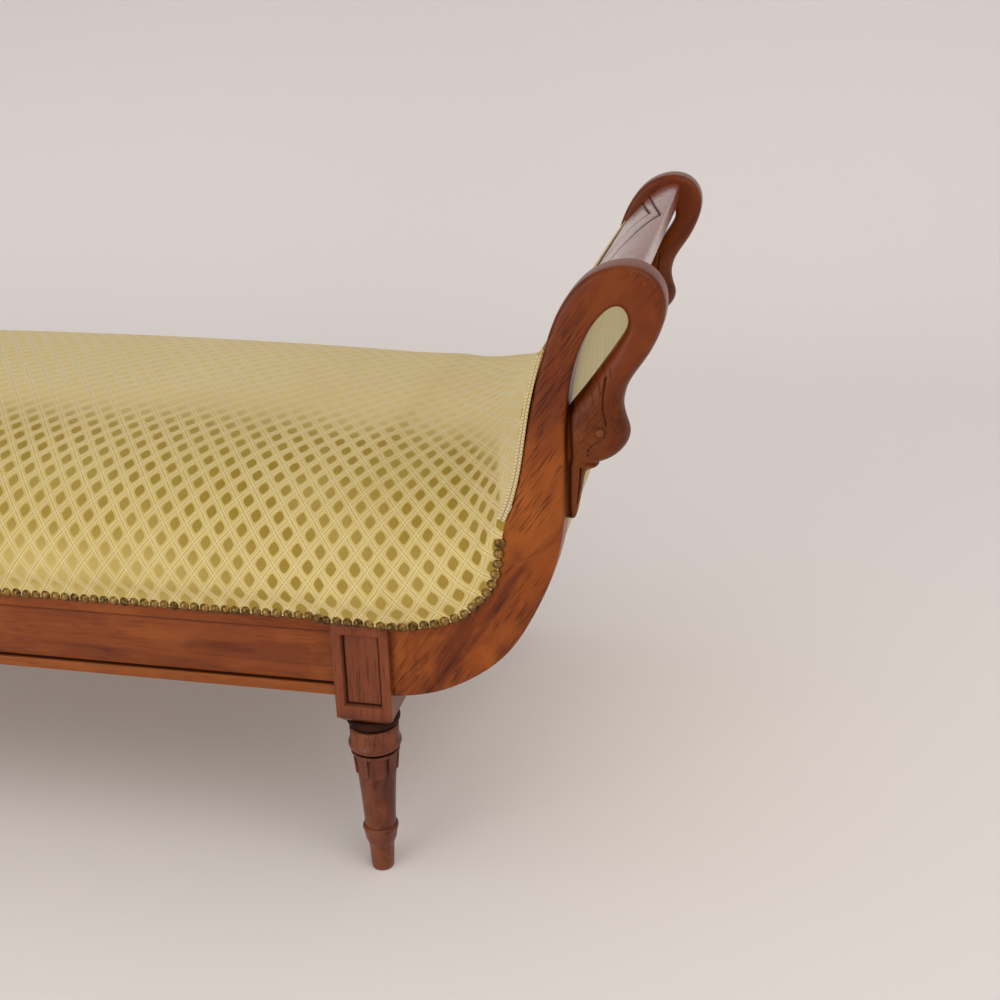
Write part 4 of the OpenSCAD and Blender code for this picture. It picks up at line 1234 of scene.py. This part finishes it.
foot_step = np.linalg.norm(np.diff(stations[:, 0:2], axis=0), axis=1)
top_step = np.linalg.norm(np.diff(stations[:, 2:4], axis=0), axis=1)
run = np.concatenate([[0], np.cumsum((foot_step + top_step) / 2)])
STATION_GAP, SECTION_POINTS = 5 * MM, 60
fine = threaded(stations, run, np.linspace(0, run[-1], int(run[-1] / STATION_GAP)))
print("stations:", len(fine), "over", round(run[-1], 3), "m")

# %% [markdown]
# Across the seat, each station becomes a half section: from the cloth's edge up a
# side that swells and tucks in above the nails, over a soft shoulder, to the middle
# of the crown. The points are evenly spaced along it, so the cover gets even faces.

# %% The section across, and the cover's points
SIDE_POWER, TOP_POWER, TUCK_SHARE = 3, 2.5, 0.3
FLAT_H, FLAT_SHARE, SIDE_FULL = 10 * MM, 0.13, 0.18
OVER_BLOCK, BLOCK_FADE = 47 * MM, 14 * MM
BLOCK_LOW, BLOCK_HIGH, SIDE_LEAST = 12 * MM, 75 * MM, 0.25


def eased(x):
    """0 up to 0 and 1 from 1 on, with a soft start and end."""
    x = np.clip(x, 0, 1)
    return x * x * (3 - 2 * x)


def section_points(station):
    """Points from the cloth's edge up to the middle of the crown, evenly spaced."""
    foot, top, drop, half_w, swell = station[0:2], station[2:4], *station[4:7]
    lens = eased(station[7])
    up = (top - foot) / np.linalg.norm(top - foot)
    high = np.linalg.norm(top - foot) + drop
    h = np.concatenate([np.linspace(0, 0.9, 120), 1 - np.geomspace(0.1, 1e-6, 120)[1:], [1]])
    tuck = swell * np.maximum(0, 1 - h / TUCK_SHARE) ** 2
    side = (half_w + swell) * (1 - h**TOP_POWER) ** (1 / SIDE_POWER) - tuck
    flat_h = min(FLAT_H, FLAT_SHARE * high) / high
    side = half_w + (side - half_w) * eased((h - flat_h) / (SIDE_FULL - flat_h)) * (h > flat_h)
    edge_h = min(0.6, (LENS_EDGE + drop) / high)
    lens_side = half_w * (1 - np.clip((h - edge_h) / (1 - edge_h), 0, 1)) ** (1 / LENS_POWER)
    side = side * (1 - lens) + lens_side * lens
    x_rel = foot[0] - LEG_X
    over_block = eased((x_rel + OVER_BLOCK) / BLOCK_FADE) * eased((OVER_BLOCK - x_rel) / BLOCK_FADE)
    block_rise = eased(1 - (high * h - BLOCK_LOW) / BLOCK_HIGH)
    side = side + BLOCK_PROUD * over_block * block_rise * (side > SIDE_LEAST)
    run = np.concatenate([[0], np.cumsum(np.hypot(np.diff(side), np.diff(high * h)))])
    at = np.linspace(0, run[-1], SECTION_POINTS)
    width, height = np.interp(at, run, side), np.interp(at, run, high * h) - drop
    width[-1] = 0
    spot = foot + np.outer(height, up)
    return np.column_stack([spot[:, 0], -width, spot[:, 1]]), at - run[-1]


half = [section_points(station) for station in fine]
front = np.array([points for points, _ in half])
over = np.array([walked for _, walked in half])
print("cover:", front.shape[0], "sections of", front.shape[1], "points in a quarter")

# %% [markdown]
# At the top of each end the cloth runs on between the two necks, down on to the crest
# rail. A cut edge there would leave a dark gap, so the last section is moved on along
# the board in a few steps, a little deeper at each, and kept between the boards.

# %% Slope the cloth's end down between the necks, on to the crest rail
slope = [(4, 0.3), (9, 1.2), (14, 2.7), (19, 4.5), (23, 6.2), (26, 7.4)]
last = front[-1]
up = np.insert(fine[-1, 2:4] - fine[-1, 0:2], 1, 0)
up /= np.linalg.norm(up)
onward = np.insert(seat_edge(COVER_LAST + 1) - seat_edge(COVER_LAST), 1, 0)
onward /= np.linalg.norm(onward)
sloped = np.array([last + (onward * out - up * deep) * MM for out, deep in slope])
sloped[1:, :, 1] = np.maximum(sloped[1:, :, 1], -INNER_Y + 2 * SOFT_GAP)
front = np.concatenate([front, sloped])
over = np.concatenate([over, np.repeat(over[-1:], len(slope), 0)])
print("the cover's end runs on", slope[-1][0], "mm and goes down", slope[-1][1], "mm")

# %% [markdown]
# Woven cloth bends but hardly stretches, so its pattern must keep its distances. An
# unwrap by the renderer's own tools would cut the cover into islands. Here a coarse
# net over the surface is eased flat, by pulling each tie between two knots towards
# its real length, many times over. The other points lie between the knots.

# %% Unfold the cover for its pattern


def unfolded(points, v, rounds=1500, skip=3):
    """A UV map that keeps distances: a net over the surface, eased flat step by step."""
    r, c = (np.unique(np.append(np.arange(0, n, skip), n - 1)) for n in v.shape)
    net = points[np.ix_(r, c)]
    walked = np.cumsum(np.linalg.norm(np.diff(net, axis=0), axis=2), axis=0)
    u = np.concatenate([np.zeros((1, len(c))), walked])
    flat = np.stack([u, v[np.ix_(r, c)]], -1)
    ties = []
    for down, along in ((1, 0), (0, 1), (1, 1), (1, -1)):
        ends = [slice(0, -1), slice(1, None)]
        a = (slice(0, -down or None), {0: slice(None), 1: ends[0], -1: ends[1]}[along])
        b = (slice(down, None), {0: slice(None), 1: ends[1], -1: ends[0]}[along])
        ties.append((a, b, np.linalg.norm(net[b] - net[a], axis=-1)))
    for _ in range(rounds):
        push, count = np.zeros_like(flat), np.zeros(flat.shape[:2])
        for a, b, want in ties:
            gap = flat[b] - flat[a]
            pull = gap * (0.5 - want / np.linalg.norm(gap, axis=-1) / 2)[..., None]
            push[a] += pull
            push[b] -= pull
            count[a] += 1
            count[b] += 1
        flat += 1.2 * push / count[..., None]
        flat[0, :, 0], flat[:, -1, 1] = 0, 0
    full = []
    for w in (0, 1):
        columns = np.array([np.interp(np.arange(v.shape[0]), r, flat[:, k, w]) for k in range(len(c))])
        full.append(np.array([np.interp(np.arange(v.shape[1]), c, line) for line in columns.T]))
    return full


def four_fold(quarter, in_x, in_y):
    """The whole cover out of its front right quarter, with a sign for each mirror."""
    right = np.concatenate([quarter, quarter[:, -2::-1] * in_y], axis=1)
    return np.concatenate([right[:0:-1] * in_x, right], axis=0)


u_half, v_half = unfolded(front, over)
whole = four_fold(front, (-1, 1, 1), (1, -1, 1))
whole_uv = four_fold(u_half, -1, 1), four_fold(v_half, 1, -1)
print("cloth unfolded to", round(2 * u_half.max(), 3), "m by", round(-2 * v_half.min(), 3), "m")

# %% Lay the cover


def sheet_of(name, points, uv=None):
    """A grid primitive whose points are put on a surface, with a UV map in metres."""
    rows, columns = points.shape[:2]
    piece = begin(bpy.ops.mesh.primitive_grid_add, name, size=1,
                  x_subdivisions=rows - 1, y_subdivisions=columns - 1)
    clear_selection()
    flat = points_of(piece)
    r = np.rint((flat[:, 0] + 0.5) * (rows - 1)).astype(int)
    c = np.rint((flat[:, 1] + 0.5) * (columns - 1)).astype(int)
    put_points(piece, points[r, c])
    if uv is not None:
        corner = np.empty(len(piece.data.loops), int)
        piece.data.loops.foreach_get("vertex_index", corner)
        values = np.column_stack([uv[0][r, c][corner], uv[1][r, c][corner]])
        piece.data.uv_layers[0].data.foreach_set("uv", values.astype(np.float32).ravel())
    return piece


STEEP_LOW, STEEP_HIGH, CORNER_X, CORNER_FADE, SIDE_SHEEN_FADE = 0.2, 0.7, 0.5, 0.22, 0.7
cover = sheet_of("seat_upholstery", whole, whole_uv)
modify(cover, "SOLIDIFY", thickness=CLOTH_T, offset=-1)
shade(cover, 60)
normals = np.empty(len(cover.data.vertices) * 3)
cover.data.vertices.foreach_get("normal", normals)
# Steep faces of the long sides get a mark that fades the velvet lozenges: painted sheen.
steep = 1 - eased((np.abs(normals.reshape(-1, 3)[:, 2]) - STEEP_LOW) / (STEEP_HIGH - STEEP_LOW))
long_side = eased((CORNER_X - np.abs(points_of(cover)[:, 0])) / CORNER_FADE)
mark(cover, SIDE_SHEEN_FADE * steep * long_side, name="rubbed")
dress(cover, gold_cloth, "cover_cloth", "seat_cover", "seat_pad", "end_cover_right", "end_cover_left",
      "end_pad_right", "end_pad_left")
print("cover's lowest and highest corners:", points_of(cover).min(0), points_of(cover).max(0))

# %% [markdown]
# ## Nails
# Close nails with domed brass heads hold the cover's edge, along the rails and up the
# boards as far as the seat's side reaches. One head is the cap of a sphere. A row of
# equal copies would look like a machine's work, so the copies stand a nail's width
# apart along the nail line, each turned, tilted and sized a little differently, from
# a random generator with a fixed seed.

# %% Shape one nail and the nail line
NAIL_D, NAIL_H, NAIL_PITCH = 11 * MM, 3.5 * MM, 11.6 * MM
dome_r = ((NAIL_D / 2) ** 2 + NAIL_H**2) / (2 * NAIL_H)
nail = begin(bpy.ops.mesh.primitive_uv_sphere_add, "nail", segments=12, ring_count=9, radius=dome_r)
bpy.ops.mesh.bisect(plane_co=(0, 0, dome_r - NAIL_H), plane_no=(0, 0, 1), clear_inner=True, use_fill=True)
bpy.ops.mesh.select_all(action="SELECT")
move(0, 0, NAIL_H - dome_r)
outward()
settle(nail)
nail_run = [(0, CLOTH_Y), (SEAT_JOIN, CLOTH_Y), (LEG_X - OVER_BLOCK, CLOTH_Y),
            (LEG_X - 33 * MM, CLOTH_Y + BLOCK_PROUD), (LEG_X, CLOTH_Y + BLOCK_PROUD)]
nail_run = [(x, RAIL_TOP - NAIL_DROP, y) for x, y in nail_run]
for i in range(NAIL_LAST + 1):
    foot, top = seat_edge(i), np.array(surface_at(i))
    spot = foot - (top - foot) / np.linalg.norm(top - foot) * nail_drops[i]
    nail_run.append((*spot, CLOTH_Y + (BLOCK_PROUD if i == 0 else 0)))
nail_run = np.array(nail_run)
length = run_of(nail_run)
count = int(length[-1] / NAIL_PITCH)
print("nails from the middle to one end:", count)

# %% Drive the nails
TILT, SIDE_SLIP, UP_SLIP, NAIL_GAP = 0.07, 0.3 * MM, 0.4 * MM, 0.1 * MM
rng = np.random.default_rng(7)
caps = {-1: [], 1: []}
for side in (-1, 1):
    for end in (-1, 1):
        for k in range(1 if end < 0 else 0, count + 1):
            at = k * NAIL_PITCH
            spot = [np.interp(at, length, nail_run[:, c]) for c in range(3)]
            proud = max(np.interp(at + d, length, nail_run[:, 2]) for d in (-NAIL_D / 2, 0, NAIL_D / 2))
            cap = copy_of(nail)
            tilt = rng.uniform(-TILT, TILT, 2)
            size = rng.uniform(0.95, 1.01)
            cap.scale = (size, size, rng.uniform(0.92, 1.04))
            cap.rotation_mode = "ZYX"
            cap.rotation_euler = (-side * math.pi / 2 + tilt[0], tilt[1], rng.uniform(0, math.pi))
            x = end * spot[0] + rng.uniform(-SIDE_SLIP, SIDE_SLIP)
            cap.location = (x, side * (proud + NAIL_GAP), spot[1] + rng.uniform(-UP_SLIP, UP_SLIP))
            caps[side].append(cap)
bpy.data.objects.remove(nail)
brass = Finish("aged_brass", metallic=0.85)
patina = brass.noise(brass.place(), 240, 3, 0.6)
each = brass.noise(brass.place(), 70, 1)
shine = patina.step(0.35, 0.7) * 0.6 + each.step(0.35, 0.65) * 0.4
nail_brass = brass.wear(brass.blend(shine, rgb(58, 40, 18), rgb(170, 134, 74)),
                        0.28 + patina * 0.25, brass.bump(patina, 0.0002, 0.5))
for side, name in ((-1, "front"), (1, "back")):
    row = joined(caps[side], f"nail_heads_{name}")
    settle(row)
    shade(row, 50)
    dress(row, nail_brass, "nail_brass", f"nails_{name}")

# %% [markdown]
# ## Back cloth, webbing, hessian and braid
# The outside of each end is closed by a plain cloth, stretched between the stiles.
# Under the stuffing lie crossed strips of webbing and a layer of hessian, which are
# only seen from below. All are taut sheets, which a simulation would leave as they
# are, so each is a grid laid along a line of the side view, with a thickness from
# Solidify. The line is moved off the wood by half that thickness and a small gap.

# %% Stretch the back cloths
WEB_W, WEB_GAP, WEB_T, HESSIAN_T = 50 * MM, 32 * MM, 1.6 * MM, 1 * MM
INNER_W = 2 * INNER_Y


def left_of(path, off):
    """The path moved to its left by a distance, or by a list of distances."""
    way = np.gradient(np.asarray(path, float), axis=0)
    way /= np.linalg.norm(way, axis=1)[:, None]
    return path + np.column_stack([-way[:, 1], way[:, 0]]) * np.reshape(off, (-1, 1))


def band(path, low, high, steps=9):
    """Points and UV of a strip that follows a path of the side view across the width."""
    y = np.linspace(low, high, steps)
    run = run_of(path)
    points = np.array([[(x, w, z) for w in y] for x, z in path])
    return points, (np.repeat(run[:, None], steps, 1), np.repeat(y[None], len(path), 0))


outside_shares = [
    (0.817, 0.917), (0.778, 0.903), (0.734, 0.878), (0.705, 0.850), (0.688, 0.815),
    (0.677, 0.785), (0.654, 0.687), (0.652, 0.577), (0.653, 0.468), (0.622, 0.370),
    (0.560, 0.272), (0.455, 0.156), (0.400, 0.118), (0.329, 0.084), (0.270, 0.058)]
outside = left_of(smooth([place(s) for s in outside_shares], 4), 2 * SOFT_GAP + CLOTH_T / 2)
points, uv = band(outside, -INNER_Y + SOFT_GAP, INNER_Y - SOFT_GAP)
outside_back = sheet_of("outside_back_right_cloth", points, uv)
modify(outside_back, "SOLIDIFY", thickness=CLOTH_T, offset=0)
shade(outside_back, 60)
outside_left = mirrored(outside_back, "outside_back_left_cloth", x=-1)
for piece, side in ((outside_back, "right"), (outside_left, "left")):
    dress(piece, back_cloth, "cover_cloth", f"outside_back_{side}")
    uv[0].max()

# %% [markdown]
# Webbing is woven over and under where its strips cross. Flat crossed strips would cut
# through each other, so each strip rises and sinks by half a thickness at its
# crossings, in turn.

# %% Lay the seat's webbing and hessian
SEAT_RUN = 2 * LEG_X - 2 * BLOCK_W
LONG = int((INNER_W + WEB_GAP) / (WEB_W + WEB_GAP))
CROSS = int(SEAT_RUN / (WEB_W + WEB_GAP))
long_y = [(i + 0.5) * INNER_W / LONG - INNER_Y for i in range(LONG)]
cross_x = [(i + 0.5) * SEAT_RUN / CROSS - SEAT_RUN / 2 for i in range(CROSS)]
WEB_Z, WEAVE_RISE = RAIL_TOP + 2 * SOFT_GAP + WEB_T, SOFT_GAP / 2 + WEB_T / 2
WEB_REACH, WEB_EASE = FACE_Y - 8 * MM, 8 * MM


def interlaced(name, lanes, crossings, reach, lengthwise, low):
    """Strips that pass over and under the strips that cross them."""
    strips = []
    beside = WEB_W / 2 + WEB_EASE
    along = np.linspace(-reach, reach, 25)
    along = np.unique(np.concatenate([along] + [[c - beside, c, c + beside] for c in crossings]))
    for i, lane in enumerate(lanes):
        rise = np.array([low] + [(-1) ** (i + j) * low for j in range(len(crossings))] + [low])
        z = WEB_Z + WEAVE_RISE * np.interp(along, [-reach, *crossings, reach], rise)
        across = np.linspace(lane - WEB_W / 2, lane + WEB_W / 2, 3)
        a, w = np.meshgrid(along, across, indexing="ij")
        h = np.repeat(z[:, None], len(across), 1)
        strips.append(sheet_of(name, np.stack([a, w, h] if lengthwise else [w, a, h], -1), (a, w)))
    piece = joined(strips, name)
    modify(piece, "SOLIDIFY", thickness=WEB_T, offset=0)
    return piece


long_web = interlaced("webbing_along", long_y, cross_x, LEG_X, True, -1)
dress(long_web, webbing_jute, "jute", "seat_webbing_long")
cross_web = interlaced("webbing_across", cross_x, long_y, WEB_REACH, False, 1)
dress(cross_web, webbing_jute, "jute", "seat_webbing_cross")
HESSIAN_Z = RAIL_TOP + 2 * WEB_T + 3 * SOFT_GAP + HESSIAN_T / 2
HESSIAN_X = LEG_X + WEB_EASE
points, uv = band([(x, HESSIAN_Z) for x in np.linspace(-HESSIAN_X, HESSIAN_X, 25)], -WEB_REACH, WEB_REACH)
hessian = sheet_of("hessian_seat", points, uv)
modify(hessian, "SOLIDIFY", thickness=HESSIAN_T, offset=0)
dress(hessian, hessian_jute, "jute", "seat_hessian")

# %% Lay the raised ends' webbing and hessian
edge = np.array([(LEG_X + 8 * MM + WEB_T, RAIL_TOP)] + [seat_edge(i) for i in range(PAD_LAST + 1)])
web_off, hessian_off = SOFT_GAP + WEB_T / 2, 2 * SOFT_GAP + WEB_T + HESSIAN_T / 2
for off, width, lanes, steps, thick, jute, name, weave in (
        (web_off, WEB_W, long_y, 3, WEB_T, webbing_jute, "webbing_end", "webbing"),
        (hessian_off, 2 * WEB_REACH, [0], 9, HESSIAN_T, hessian_jute, "hessian_end", "hessian")):
    strips = []
    path = left_of(edge, off)
    for lane in lanes:
        points, uv = band(path, lane - width / 2, lane + width / 2, steps)
        strips.append(sheet_of(f"{name}_right", points, uv))
    piece = joined(strips, f"{name}_right")
    modify(piece, "SOLIDIFY", thickness=thick, offset=0)
    for part, side in ((piece, "right"), (mirrored(piece, f"{name}_left", x=-1), "left")):
        dress(part, jute, "jute", f"end_{weave}_{side}")
        uv[0].max()

# %% [markdown]
# A cream double cord covers the cloth's edge from the last nail up the stile, and gets
# thinner on its way. It could be a curve with a bevel, but then its twist would need
# a UV map of its own. So each of its two cords is a grid wrapped round a line beside
# the wood's edge, with its length and its turn as the UV map.

# %% Lay the double cord along the stiles
BRAID_W, BRAID_START, CORD_SIDES, CORD_OUT = 9 * MM, -0.3, 10, 0.6 * MM
line = [seat_edge(i) for i in range(NAIL_LAST + 1, PAD_LAST + 1)]
line[0] = line[0] + (line[1] - line[0]) * BRAID_START
line = smooth(line, 6)
wide = BRAID_W * (1 - np.linspace(0, 1, len(line)) / 2)
cord_run = run_of(line)
turns = np.linspace(0, TURN, CORD_SIDES + 1)
cords = []
for share in (0.25, 0.75):
    points = []
    middle_line = left_of(line, SOFT_GAP + wide * share)
    side_way = left_of(line, 1) - line
    for at, way, r in zip(middle_line, side_way, wide / 4):
        points.append([(at[0] + way[0] * math.cos(t) * r, -(FACE_Y - r + CORD_OUT + math.sin(t) * r),
                        at[1] + way[1] * math.cos(t) * r) for t in turns])
    cord_v = np.repeat((turns / TURN * (1 if share < 0.5 else -1))[None], len(line), 0)
    cord_u = np.repeat(cord_run[:, None], CORD_SIDES + 1, 1)
    piece = sheet_of("braid_front_right", np.array(points), (cord_u, cord_v))
    edit(piece)
    outward()
    settle(piece)
    cords.append(piece)
braid = joined(cords, "braid_front_right")
shade(braid, 60)
copies = {"right": [braid, mirrored(braid, "braid_back_right", y=-1)]}
copies["left"] = [mirrored(piece, piece.name.replace("right", "left"), x=-1) for piece in copies["right"]]
for side, pair in copies.items():
    dress(joined(pair, f"braid_cord_{side}"), cream_braid, "braid", f"braid_{side}")
